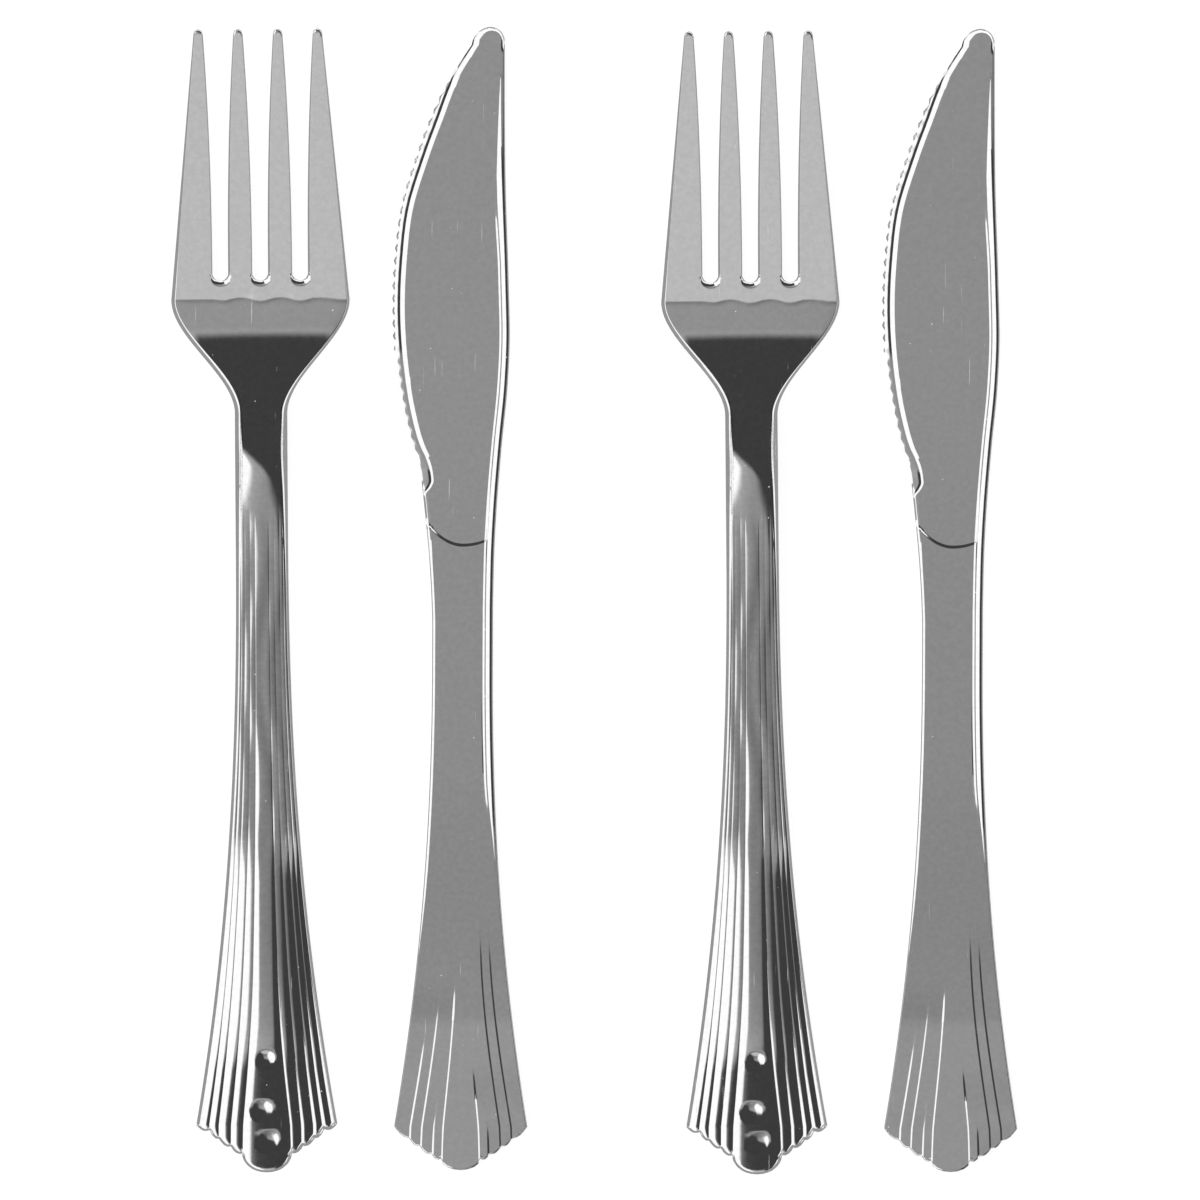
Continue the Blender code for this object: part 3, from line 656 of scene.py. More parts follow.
def finish_tree(tree, source, offset, material):
    """Move the mesh's points by the offset, weld its seams and give it its material."""
    moved = add_node(tree, "GeometryNodeSetPosition", {"Geometry": source["Geometry"], "Offset": offset})
    welded = add_node(tree, "GeometryNodeMergeByDistance", {"Geometry": moved, "Distance": source["Weld"]})
    realized = add_node(tree, "GeometryNodeRealizeInstances", (welded,))
    finished = add_node(tree, "GeometryNodeSetMaterial", {"Geometry": realized, "Material": material})
    add_node(tree, "NodeGroupOutput", (finished,))
    return tree


def reeded_face_tree(material):
    """A tree that raises convex reeds with fine grooves between them on a handle's face."""
    tree, source = face_tree("reeded_face", ("Reed Height", "Groove Depth", "Groove Width"))
    node = partial(add_node, tree)
    measures = ("reed_place", "reed_width", "reed_fade", "groove_fade", "on_face")
    measures = (node(MEASURE, {"Name": name}, data_type="FLOAT") for name in measures)
    place, width, reed_fade, groove_fade, on_face = measures
    from_middle = node(MATHS, (place, 2.0, -1.0), operation="MULTIPLY_ADD")
    squared = node(MATHS, (from_middle, from_middle), operation="MULTIPLY")
    round_top = node(MATHS, (1.0, squared), operation="SUBTRACT")
    raised = node(MATHS, (round_top, source["Reed Height"]), operation="MULTIPLY")
    reed = node(MATHS, (raised, reed_fade), operation="MULTIPLY")
    farther = node(MATHS, (1.0, place), operation="SUBTRACT")
    nearer = node(MATHS, (place, farther), operation="MINIMUM")
    away = node(MATHS, (nearer, width), operation="MULTIPLY")
    away = node(MATHS, (away, source["Groove Width"]), operation="DIVIDE")
    squared = node(MATHS, (away, away), operation="MULTIPLY")
    negative = node(MATHS, (squared, -1.0), operation="MULTIPLY")
    hollowed = node(MATHS, (negative,), operation="EXPONENT")
    sunk = node(MATHS, (hollowed, source["Groove Depth"]), operation="MULTIPLY")
    groove = node(MATHS, (sunk, groove_fade), operation="MULTIPLY")
    height = node(MATHS, (reed, groove), operation="SUBTRACT")
    lift = node(MATHS, (height, on_face), operation="MULTIPLY")
    return finish_tree(tree, source, node("ShaderNodeCombineXYZ", {"Z": lift}), material)


def grown(mesh, name, tree, **sizes):
    """The plain mesh that a Geometry Nodes tree makes of a base mesh."""
    measures = [layer.name for layer in mesh.attributes if layer.data_type == "FLOAT"]
    piece = bpy.data.objects.new(name, mesh)
    bpy.context.scene.collection.objects.link(piece)
    modifier = piece.modifiers.new(name, "NODES")
    modifier.node_group = tree
    for socket in tree.interface.items_tree:
        key = socket.name.replace(" ", "_").lower()
        if socket.in_out == "INPUT" and key in sizes:
            modifier[socket.identifier] = sizes[key]
    depsgraph = bpy.context.evaluated_depsgraph_get()
    depsgraph.update()
    finished = bpy.data.meshes.new_from_object(piece.evaluated_get(depsgraph))
    bpy.data.objects.remove(piece)
    for measure in measures:
        finished.attributes.remove(finished.attributes[measure])
    finished.shade_smooth()
    finished.set_sharp_from_angle(angle=math.radians(SHARP_ANGLE))
    return finished


def metallised_polystyrene():
    """Vacuum-metallised aluminium under clear lacquer: a mirror with the moulding's faint waves.

    The waves bend its reflections a little, the lacquer's haze mottles them, and handling has
    left dust specks and hairline scratches that show as light marks. Waves are 5.6 mm long and
    dust cells 1.8 mm apart. The haze's grains of 0.9 mm and the hairs, 0.3 mm wide and 11 mm
    long, are finer on the real thing and are drawn as coarse as they need to show.
    """
    material = bpy.data.materials.new("vacuum_metallised_polystyrene")
    material.use_nodes = True
    tree = material.node_tree
    node = partial(add_node, tree)
    shader = tree.nodes["Principled BSDF"]
    place = node("ShaderNodeTexCoord").outputs["Object"]
    waves = {"Vector": place, "Scale": 0.18 / MM, "Detail": 2.0, "Roughness": 0.5}
    ripple = node("ShaderNodeTexNoise", waves).outputs["Fac"]
    bump = node("ShaderNodeBump", {"Height": ripple, "Strength": 0.1, "Distance": 0.02 * MM})
    tree.links.new(bump.outputs["Normal"], shader.inputs["Normal"])
    grains = {"Vector": place, "Scale": 1.1 / MM, "Detail": 4.0, "Roughness": 0.65}
    haze = node("ShaderNodeTexNoise", grains).outputs["Fac"]
    dust = node("ShaderNodeTexVoronoi", {"Vector": place, "Scale": 0.55 / MM}).outputs
    chosen = node("ShaderNodeSeparateColor", {"Color": dust["Color"]}).outputs["Red"]
    size = node("ShaderNodeMapRange", (chosen, 0.55, 1.0, 0.0, 0.085))
    inside = node(MATHS, (size, dust["Distance"]), operation="SUBTRACT")
    specks = node("ShaderNodeMapRange", (inside, 0.0, 0.03, 0.0, 1.0))
    stretch = (3.0 / MM, 0.09 / MM, 0.5 / MM)
    drawn_out = node("ShaderNodeVectorMath", (place, stretch), operation="MULTIPLY")
    hairs = node("ShaderNodeTexNoise", {"Vector": drawn_out, "Scale": 1.0, "Detail": 1.0}).outputs["Fac"]
    scratches = node("ShaderNodeMapRange", (hairs, 0.755, 0.8, 0.0, 0.6))
    marks = node(MATHS, (specks, scratches), operation="MAXIMUM")
    bare = node(MATHS, (1.0, marks), operation="SUBTRACT")
    tree.links.new(bare.outputs[0], shader.inputs["Metallic"])
    roughness = node("ShaderNodeMapRange", (haze, 0.3, 0.7, 0.045, 0.09))
    tree.links.new(roughness.outputs[0], shader.inputs["Roughness"])
    hazed = node("ShaderNodeMapRange", (haze, 0.35, 0.68, 0.0, 1.0))
    mottle = node("ShaderNodeMix", {0: hazed, 6: linear("#EAEAEB"), 7: linear("#F5F5F5")}, data_type="RGBA")
    tree.links.new(mottle.outputs[2], shader.inputs["Base Color"])
    return material


finish = metallised_polystyrene()
fork_mesh = grown(
    fork_base_mesh(), "fork", reeded_face_tree(finish),
    reed_height=0.115 * MM, groove_depth=0.024 * MM, groove_width=0.16 * MM, weld=WELD,
)
PAIR_PITCH = 81.67 * MM
PAIR_STEP_BACK = 0.33 * MM


def laid(mesh, name, place, turn, pair):
    """A copy of a finished mesh, turned and moved to where its piece lies."""
    copy = mesh.copy()
    copy.name = name
    count = len(copy.vertices)
    points = np.empty(count * 3)
    copy.vertices.foreach_get("co", points)
    points = points.reshape(-1, 3)
    cos, sin = math.cos(turn), math.sin(turn)
    across = points[:, 0] * cos - points[:, 1] * sin + place[0] + pair * PAIR_PITCH
    along = points[:, 0] * sin + points[:, 1] * cos + place[1] - pair * PAIR_STEP_BACK
    copy.vertices.foreach_set("co", np.column_stack([across, along, points[:, 2]]).ravel())
    copy.update()
    piece = bpy.data.objects.new(name, copy)
    bpy.context.scene.collection.objects.link(piece)
    return piece


FORK_PLACE = (-54.55 * MM, -95.35 * MM)
FORK_TURN = math.radians(0.45)
for pair in (0, 1):
    piece = laid(fork_mesh, f"fork_moulding_{pair + 1}", FORK_PLACE, FORK_TURN, pair)
    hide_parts(f"fork_{pair + 1}")
    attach(piece, "root")

# The two knives
# Each is one injection moulding in the same polystyrene, with a flat face: a fan of shallow
# facets, a grip with a bevelled right side, a curved step down to the blade, and a thin toothed
# flange along the cutting edge.

KNIFE_CORNER = 7.3 * MM
BOLSTER = 104.0 * MM
BLADE_LENGTH = 86.7 * MM
KNIFE_LENGTH = BOLSTER + BLADE_LENGTH
BOLSTER_SAG = 2.6 * MM
KNIFE_FLARE_END = 84.0 * MM
KNIFE_SWEEP = 2.1
KNIFE_FAN_WIDTH = 22.3 * MM
KNIFE_GRIP_WIDTH = 10.2 * MM
BELLY = 6.95 * MM
SPINE_SWELL = 2.6 * MM
NOTCH_START = BOLSTER + 8.5 * MM
NOTCH_LENGTH = 2.6 * MM
TEETH_START = BOLSTER + 13.0 * MM
TEETH_END = KNIFE_LENGTH - 4.7 * MM
TOOTH_PITCH = 2.1 * MM
TOOTH_DEPTH = 0.5 * MM
TOOTH_BEVEL = 0.34 * MM
TOOTH_FACE = 0.4 * MM
NOSE_LENGTH = 3.0 * MM
NOSE_START = KNIFE_LENGTH - NOSE_LENGTH
NOSE_LEAN = 0.35 * MM
SPINE_SHAPE = (
    (-0.115, 0.0), (0.0, 0.08), (0.08, 0.22), (0.195, 0.52), (0.31, 0.88),
    (0.39, 1.0), (0.51, 0.92), (0.69, 0.71), (1.0, 0.61),
)
EDGE_SHAPE = (
    (-0.14, 0.0), (-0.07, 0.04), (0.0, 0.105), (0.06, 0.18), (0.115, 0.255), (0.15, 0.315),
    (0.19, 0.52), (0.255, 0.73), (0.345, 0.91), (0.45, 1.0), (0.555, 0.955), (0.66, 0.79),
    (0.74, 0.49), (0.83, 0.075), (0.895, -0.315), (0.958, -0.835),
)
KNIFE_CUSPS = (
    (0.28, 1.9 * MM), (0.42, 2.7 * MM), (0.598, 4.0 * MM), (0.766, 5.3 * MM), (1.0, KNIFE_CORNER),
)
KNIFE_STEPS = (0.13, 0.25, 0.44, 0.64)
GRIP_FACE = 2.0 * MM
BOLSTER_BLADE_FACE = 1.86 * MM
BLADE_FACE = 1.6 * MM
FAN_DIP = 0.35 * MM
FAN_SLOPE = 0.045
CHAMFER = 0.2 * MM
BLADE_BEVEL = 0.75 * MM
VALLEY_WIDTH = 0.42 * MM
VALLEY_DEPTH = 0.07 * MM
FLANGE_SLOPE = 0.11
LEDGE_SLOPE = 0.14
BEVEL_SLOPE = 0.48
NOSE_SLOPE = 0.52
RIM_HEIGHT = 0.1 * MM
GRIP_BEVEL_DROP = 0.14 * MM
GRIP_BEVEL = 0.3 * MM
BLADE_BEVEL_DROP = 0.37 * MM
NOSE_RIGHT_BEVEL = 0.3 * MM
NOSE_RIGHT_FOOT = 0.2 * MM
FLANGE_WIDTHS = (1.25 * MM, 1.0 * MM)
FAN_DIP_END = 66 * MM
FAN_RISE_START = 26 * MM
SPINE_BEVELS = (0.68 * MM, 0.92 * MM)
SPINE_LEDGES = (0.55 * MM, 0.7 * MM)
SPINE_BEVEL_START = 50 * MM
SPINE_BEVEL_END = 182 * MM
UPPER_TEETH_START = 134 * MM
RIM_START = 58 * MM
RIM_END = 162 * MM


def through(points, place):
    """The heights, at places, of the smooth curve that passes through the points."""
    places, heights = np.array(points, dtype=float).T
    slopes = np.gradient(heights, places)
    i = np.clip(np.searchsorted(places, place) - 1, 0, len(places) - 2)
    run = places[i + 1] - places[i]
    t = (place - places[i]) / run
    ends = (2 * t**3 - 3 * t**2 + 1) * heights[i] + (3 * t**2 - 2 * t**3) * heights[i + 1]
    leans = (t**3 - 2 * t**2 + t) * slopes[i] + (t**3 - t**2) * slopes[i + 1]
    return ends + leans * run


def grip_half_width(along):
    """Half the width of the handle, from its fan to its grip."""
    flared = ramp(along, KNIFE_FLARE_END, KNIFE_CORNER)
    return mix(KNIFE_GRIP_WIDTH, KNIFE_FAN_WIDTH, flared**KNIFE_SWEEP) / 2.0


def beside_grip(shape, full, along):
    """How far the blade stands out beyond the grip's line, by the curve through its shape."""
    share = (along - BOLSTER) / BLADE_LENGTH
    return np.where(share > shape[0][0], full * through(shape, np.maximum(share, shape[0][0])), 0.0)


def spine_side(along):
    """Where the right side of the knife lies."""
    return grip_half_width(along) + beside_grip(SPINE_SHAPE, SPINE_SWELL, along)


def cutting_side(along):
    """Where the left side of the knife lies, before its teeth are cut."""
    return -grip_half_width(along) - beside_grip(EDGE_SHAPE, BELLY, along)


def flange_width(along):
    """Width of the toothed flange, which runs out at the notch and near the tip."""
    start = ease((along - NOTCH_START) / NOTCH_LENGTH)
    below = mix(*FLANGE_WIDTHS, ease((along - NOTCH_START) / (15 * MM)))
    return below * start * ease((TEETH_END + 1 * MM - along) / (14 * MM))


STEP_RUN = 0.24 * MM
STEP_PLACES = (-1.35, -1.0, -0.5, 0.0, 0.35)
LEFT_STEPS = ((0.115 * MM, 32 * MM), (0.05 * MM, 13 * MM), (0.045 * MM, 30 * MM), (0.055 * MM, 25 * MM))
RIGHT_STEPS = ((0.135 * MM, 18 * MM), (0.105 * MM, 9 * MM), (0.034 * MM, 42 * MM), (0.034 * MM, 41 * MM))
GRIP_EDGE = np.array([0, .05, .19, .21, .26, .31, .36, .41, .45, .49, .51, .58, .66, .78, .95]) * MM
SPINE_COLUMNS = 22


def spine_widths(along):
    """Widths of the ledge along the spine side and of the bevel above it."""
    wide = mix(*SPINE_BEVELS, ease((along - 150 * MM) / (12 * MM)))
    narrowed = wide * mix(0.1, 1.0, ramp(along, SPINE_BEVEL_END, SPINE_BEVEL_END - 16 * MM))
    bevel = narrowed * ease((along - SPINE_BEVEL_START) / (16 * MM))
    ledge = mix(*SPINE_LEDGES, ease((along - 160 * MM) / (20 * MM)))
    ended = ramp(along, SPINE_BEVEL_END + 0.6 * MM, SPINE_BEVEL_END)
    return ledge, np.maximum(bevel * ended, 0.001 * MM)


def spine_edge(along):
    """Distances in from the spine side: its wall, chamfer, ledge, bevel and rim."""
    ledge, bevel = (float(width) for width in spine_widths(along))
    foot = [0.0, EDGE_WALL, CHAMFER - 0.01 * MM, CHAMFER + 0.01 * MM, 0.6 * ledge, ledge - 0.02 * MM, ledge]
    on_bevel = [ledge + max(bevel, 0.02 * MM) * share for share in (0.25, 0.5, 0.75, 1.0)]
    inward = np.array([0.02, 0.1, 0.18, 0.2, 0.24, 0.34, 0.44, 0.5, 0.52, 0.6, 0.7]) * MM
    return np.concatenate([foot, on_bevel, on_bevel[-1] + inward]) * stretch(spine_side, along)


def blade_edge(along):
    """Distances in from the cutting edge: its wall, the flange, the valley and the bevel."""
    flange = max(float(flange_width(along)), 0.02 * MM)
    share = max(0.05, min(1.0, flange / VALLEY_WIDTH))
    share = max(share, 0.6 * float(ease((along - TEETH_START) / MM)))
    outer = EDGE_WALL + flange * np.array([0.2, 0.4, 0.46, 0.9, 1.0])
    valley = outer[-1] + share * VALLEY_WIDTH * np.array([0.12, 0.5, 0.88, 1.0])
    bevel = valley[-1] + BLADE_BEVEL * np.array([0.5, 0.97, 1.0, 1.15])
    return np.concatenate([[0.0, EDGE_WALL], outer, valley, bevel]) * stretch(cutting_side, along)


def facet_columns():
    """Columns of the fan between its edges, each as its side, its lobe and its place there.

    Lobe 0 is the middle facet. Places in a lobe below 0.35 lie in or beside the step down to it.
    """
    right = [(1, lobe, t) for lobe in (1, 2, 3, 4) for t in STEP_PLACES + (0.5, 0.75)]
    left = [(-1, lobe, t) for _, lobe, t in reversed(right)]
    return left + [(0, 0, t) for t in (-0.8, -0.4, 0.0, 0.4, 0.8)] + right


def knife_row(along):
    """Places across the knife at one distance along."""
    left, right = float(cutting_side(along)), float(spine_side(along))
    on_blade = float(ease((along - 100 * MM) / (10 * MM)))
    start = mix(GRIP_EDGE, blade_edge(along), on_blade)
    room = min(1.0, 0.42 * (right - left) / start[-1])
    start, stop = start * room, spine_edge(along) * room
    gather = ease(along / REED_GATHER)
    marks = [mix(cusp, above, gather) for (cusp, _), above in zip(KNIFE_CUSPS, KNIFE_STEPS)]
    half = float(grip_half_width(along))
    facets = []
    for side, lobe, t in facet_columns():
        if lobe == 0:
            facets.append(t * (marks[0] * half - STEP_RUN))
            continue
        foot = marks[lobe - 1] * half + STEP_RUN / 2.0
        rim = half - (start if side < 0 else stop)[-1]
        far = marks[lobe] * half - STEP_RUN if lobe < 4 else rim
        facets.append(side * (foot + t * STEP_RUN if t <= 0.35 else mix(foot, far, t)))
    even = np.linspace(left + start[-1], right - stop[-1], len(facets) + 2)[1:-1]
    spread = float(ease((along - 60 * MM) / (35 * MM)))
    return np.concatenate([left + start, mix(np.array(facets), even, spread), (right - stop)[::-1]])


def arc_ahead(across, along):
    """How far the bolster's curve lies ahead of its middle."""
    side = np.where(across < 0, BOLSTER_SAG, 0.55 * BOLSTER_SAG)
    return side * np.clip(across / grip_half_width(along), -1.3, 1.3) ** 2


def knife_plan():
    """Plan places of the knife, row by row from the scalloped end to the nose."""
    rows = []
    near_end = ((0, 0.1 * MM, 0.05 * MM), (0.1 * MM, 1.2 * MM, 0.1 * MM), (1.2 * MM, FAN_BLEND, 0.3 * MM))
    for along in spaced(*near_end):
        at_end = knife_row(max(along, float(KNIFE_CORNER)))
        edge = fan_edge(at_end / grip_half_width(KNIFE_CORNER), KNIFE_CUSPS)
        place = along + edge * (1.0 - along / FAN_BLEND)
        rows.append(bent_row(knife_row, place))
    below, above = BOLSTER - 8 * MM, BOLSTER + 7 * MM
    for along in spaced((FAN_BLEND, 40 * MM, 0.4 * MM), (40 * MM, below, 1.2 * MM)):
        rows.append(straight_row(knife_row(along), along))
    arc_start, arc_end = BOLSTER - 0.2 * MM, BOLSTER + 0.7 * MM
    on_arc = (arc_start, arc_end, 0.07 * MM)
    for along in spaced((below, arc_start, 0.9 * MM), on_arc, (arc_end, above, 0.6 * MM)):
        curved = ease((along - below) / (arc_start - below)) * ease((above - along) / (above - arc_end))
        place = along + curved * arc_ahead(knife_row(along), along)
        rows.append(bent_row(knife_row, place))
    toothed = (TEETH_START, TEETH_END, TOOTH_PITCH / 6)
    for along in spaced((above, TEETH_START, 0.4 * MM), toothed, (TEETH_END, NOSE_START, 0.2 * MM)):
        rows.append(straight_row(knife_row(along), along))
    chord = straight_row(knife_row(NOSE_START), NOSE_START)
    left, right = chord[0, 0], chord[-1, 0]
    turn = np.arccos(np.clip(1.0 - 2.0 * (chord[:, 0] - left) / (right - left), -1.0, 1.0))
    tip = np.stack([chord[:, 0] + NOSE_LEAN * np.sin(turn), NOSE_START + NOSE_LENGTH * np.sin(turn)], axis=1)
    for share in np.concatenate([np.linspace(0.0, 0.6, 8, endpoint=False), np.linspace(0.6, 1.0, 30)]):
        rows.append(mix(chord, tip, share))
    return np.array(rows)


def knife_outlines(end_row):
    """Points along the cutting side, the spine side and the scalloped end."""
    side = np.arange(KNIFE_CORNER, NOSE_START, 0.05 * MM)
    turn = np.linspace(0.0, math.pi, 240)
    left, right = float(cutting_side(NOSE_START)), float(spine_side(NOSE_START))
    across = mix(left, right, (1.0 - np.cos(turn)) / 2.0) + NOSE_LEAN * np.sin(turn)
    nose = np.stack([across, NOSE_START + NOSE_LENGTH * np.sin(turn)], axis=1)
    cutting = np.concatenate([np.stack([cutting_side(side), side], axis=1), nose[:110]])
    spine = np.concatenate([np.stack([spine_side(side), side], axis=1), nose[:108:-1]])
    return cutting, spine, between_points(end_row)


def face_height(across, along, curved):
    """Height of the face: the fan turned up at its end, the grip, the step down and the blade."""
    grip = GRIP_FACE - FAN_DIP * ease((FAN_DIP_END - along) / (36 * MM))
    grip = grip + bend_away(FAN_RISE_START - along, 2 * MM, FAN_SLOPE)
    blade = mix(BOLSTER_BLADE_FACE, BLADE_FACE, ease((along - BOLSTER) / (60 * MM)))
    ahead = along - BOLSTER - arc_ahead(across, along)
    rightward = np.clip(across / grip_half_width(along), 0.0, 1.0) ** 2
    sharp = mix(grip, blade, ramp(ahead, 0.0, mix(0.46 * MM, 0.3 * MM, rightward)))
    gentle = mix(grip, blade, ease((along - 96 * MM) / (24 * MM)))
    return mix(gentle, sharp, curved)


def cutting_edge_drop(distance, along):
    """Fall from the face to the cutting side: a bevel, then a valley and the toothed flange."""
    blade = ease((along - NOTCH_START + MM) / (22 * MM))
    lower = ease((along - 34 * MM) / (16 * MM))
    full = lower * mix(GRIP_BEVEL_DROP, BLADE_BEVEL_DROP, blade)
    width = np.maximum(lower * mix(GRIP_BEVEL, BLADE_BEVEL, blade), 0.02 * MM)
    flange = flange_width(along)
    toothed = np.minimum(1.0, flange / VALLEY_WIDTH)
    valley = VALLEY_WIDTH * np.maximum(toothed, 0.6 * ease((along - TEETH_START) / MM))
    upper = ease((along - UPPER_TEETH_START) / (6 * MM))
    at_notch = ease((NOTCH_START + 5 * MM - along) / (2 * MM))
    deep = VALLEY_DEPTH * valley / VALLEY_WIDTH * np.maximum(upper, at_notch)
    foot = EDGE_WALL + flange + valley
    start = np.maximum(foot, CHAMFER)
    fall = full * (1.0 - ramp(distance, start, start + width))
    raised = deep * (1.0 - ramp(distance, EDGE_WALL + flange, foot))
    outward = np.clip(EDGE_WALL + flange - distance, 0.0, flange)
    lean = mix(0.05, FLANGE_SLOPE, upper) * (0.75 + 0.25 * outward / np.maximum(flange, EDGE_WALL))
    return fall - raised + lean * outward


def spine_edge_drop(distance, along):
    """Fall from the face to the spine side: a low rim, a white bevel and a dark ledge."""
    rim = RIM_HEIGHT * ease((RIM_END - along) / (10 * MM)) * ease((along - RIM_START) / (10 * MM))
    ledge, bevel = spine_widths(along)
    top = ledge + bevel
    fall = BEVEL_SLOPE * bevel * (1.0 - ramp(distance, ledge, top))
    shaded = ease((along - SPINE_BEVEL_START) / (16 * MM)) * ease((180 * MM - along) / (20 * MM))
    fall = fall + LEDGE_SLOPE * shaded * np.clip(ledge - distance, 0.0, ledge - EDGE_WALL)
    return fall - rim * (1.0 - ramp(distance, top + 0.2 * MM, top + 0.5 * MM))


def nose_drop(distance, across):
    """Fall to the blade's round nose: a valley at its outline and a bevel that narrows rightwards."""
    left, right = float(cutting_side(NOSE_START)), float(spine_side(NOSE_START))
    rightward = ease((across - left) / (right - left))
    width = mix(BLADE_BEVEL, NOSE_RIGHT_BEVEL, rightward)
    foot = mix(EDGE_WALL + 0.6 * VALLEY_WIDTH, NOSE_RIGHT_FOOT, rightward)
    fall = NOSE_SLOPE * width * (1.0 - ramp(distance, foot, foot + width))
    return fall - (1.0 - rightward) * 0.6 * VALLEY_DEPTH * (1.0 - ramp(distance, EDGE_WALL, foot))


def knife_base_mesh():
    """The knife before its steps and teeth."""
    rows = knife_plan()
    plan = rows.reshape(-1, 2)
    across, along = plan[:, 0], plan[:, 1]
    lines = knife_outlines(rows[0])
    to_cutting, to_spine, to_end = (distance_to(plan, line, headings(line))[0] for line in lines)
    columns = [(-1, 4, 1.0)] * len(GRIP_EDGE) + facet_columns() + [(1, 4, 1.0)] * SPINE_COLUMNS
    face = face_height(across, along, ramp(to_spine, 1.3 * MM, 1.6 * MM))
    rim = np.zeros(rows.shape[:2], dtype=bool)
    rim[0] = rim[-1] = rim[:, 0] = rim[:, -1] = True
    nearest = np.where(rim.ravel(), 0.0, np.minimum(np.minimum(to_cutting, to_spine), to_end))
    sides = cutting_edge_drop(to_cutting, along) + spine_edge_drop(to_spine, along)
    on_nose = ease((along - NOSE_START + 1.5 * MM) / (1.5 * MM))
    fall = mix(sides, nose_drop(nearest, across), on_nose)
    flange = np.maximum(flange_width(along), EDGE_WALL)
    beside_flange = ease((along - TEETH_START) / (3 * MM)) * ramp(to_spine, 2 * MM, 3 * MM)
    beside_teeth = beside_flange * ease((TEETH_END - along) / (3 * MM))
    fall = fall + (1.0 - beside_flange) * FLANK_SLOPE * np.clip(CHAMFER - nearest, 0.0, CHAMFER - EDGE_WALL)
    top = mix(PARTING_HEIGHT, face - fall, ramp(nearest, 0.0, EDGE_WALL))
    low = PARTING_HEIGHT * np.clip(1.0 - nearest / PARTING_REACH, 0.0, 1.0) ** 2
    steps = np.zeros(len(plan))
    for side, depths in ((-1, LEFT_STEPS), (1, RIGHT_STEPS)):
        for mark, (depth, reach) in enumerate(depths, start=1):
            passed = [(s == side) * (lobe - mark + 1 + np.clip(t, -1.0, 0.0)) for s, lobe, t in columns]
            passed = np.tile(np.clip(passed, 0.0, 1.0), len(rows))
            steps += passed * depth * ease((reach - along) / (9 * MM))
    beyond_wall = ramp(nearest, 0.0, EDGE_WALL)
    reach = np.clip(1.0 - to_cutting / flange, 0.0, 1.0) * beside_teeth
    sharper = mix(0.3, 1.0, ease((along - 132 * MM) / (8 * MM)))
    edge = beside_teeth * sharper * np.clip(1.0 - to_cutting / TOOTH_FACE, 0.0, 1.0) * (nearest > 0.0)
    patch = {
        "shape": rows.shape[:2], "plan": plan, "top": top, "low": low, "steps_down": steps * beyond_wall,
        "tooth_reach": reach, "tooth_edge": edge, "on_face": np.ones(len(plan)),
    }
    return closed_mesh("knife_base", [patch], ("steps_down", "tooth_reach", "tooth_edge", "on_face"))


def stepped_and_toothed_tree(material):
    """A tree that lowers the fan's facets step by step and cuts teeth into the thin flange."""
    sizes = ("Step Scale", "Tooth Pitch", "Tooth Depth", "Tooth Bevel", "First Tooth")
    tree, source = face_tree("stepped_and_toothed", sizes)
    node = partial(add_node, tree)
    measures = ("steps_down", "tooth_reach", "tooth_edge", "on_face")
    measures = (node(MEASURE, {"Name": name}, data_type="FLOAT") for name in measures)
    steps_down, tooth_reach, tooth_edge, on_face = measures
    along = node("ShaderNodeSeparateXYZ", (node("GeometryNodeInputPosition"),)).outputs["Y"]
    past_first = node(MATHS, (along, source["First Tooth"]), operation="SUBTRACT")
    teeth = node(MATHS, (past_first, source["Tooth Pitch"]), operation="DIVIDE")
    in_tooth = node(MATHS, (teeth,), operation="FRACT")
    signed = node(MATHS, (in_tooth, 2.0, -1.0), operation="MULTIPLY_ADD")
    from_point = node(MATHS, (signed,), operation="ABSOLUTE")
    deep = node(MATHS, (from_point, source["Tooth Depth"]), operation="MULTIPLY")
    notch = node(MATHS, (deep, tooth_reach), operation="MULTIPLY")
    stepped = node(MATHS, (steps_down, source["Step Scale"]), operation="MULTIPLY")
    to_point = node(MATHS, (1.0, from_point), operation="SUBTRACT")
    sharpened = node(MATHS, (to_point, source["Tooth Bevel"]), operation="MULTIPLY")
    bevelled = node(MATHS, (sharpened, tooth_edge), operation="MULTIPLY")
    lowered = node(MATHS, (stepped, bevelled), operation="ADD")
    lowered = node(MATHS, (lowered, on_face), operation="MULTIPLY")
    downward = node(MATHS, (lowered, -1.0), operation="MULTIPLY")
    return finish_tree(tree, source, node("ShaderNodeCombineXYZ", {"X": notch, "Z": downward}), material)


knife_mesh = grown(
    knife_base_mesh(), "knife", stepped_and_toothed_tree(finish),
    step_scale=1.0, tooth_pitch=TOOTH_PITCH, tooth_depth=TOOTH_DEPTH, tooth_bevel=TOOTH_BEVEL,
    first_tooth=TEETH_START, weld=WELD,
)
KNIFE_PLACE = (-22.33 * MM, -95.02 * MM)
KNIFE_TURN = math.radians(-0.215)
for pair in (0, 1):
    piece = laid(knife_mesh, f"knife_moulding_{pair + 1}", KNIFE_PLACE, KNIFE_TURN, pair)
    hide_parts(f"knife_{pair + 1}")
    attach(piece, "root")

# The surface, the light and the camera
# A near-white laminate table under a light tent: white sides, a dark gap where the camera
# stands. None of it is part of the set. The camera looks straight down from far away.

TABLE_REACH = 3.0
TABLE_GLOW = 0.82


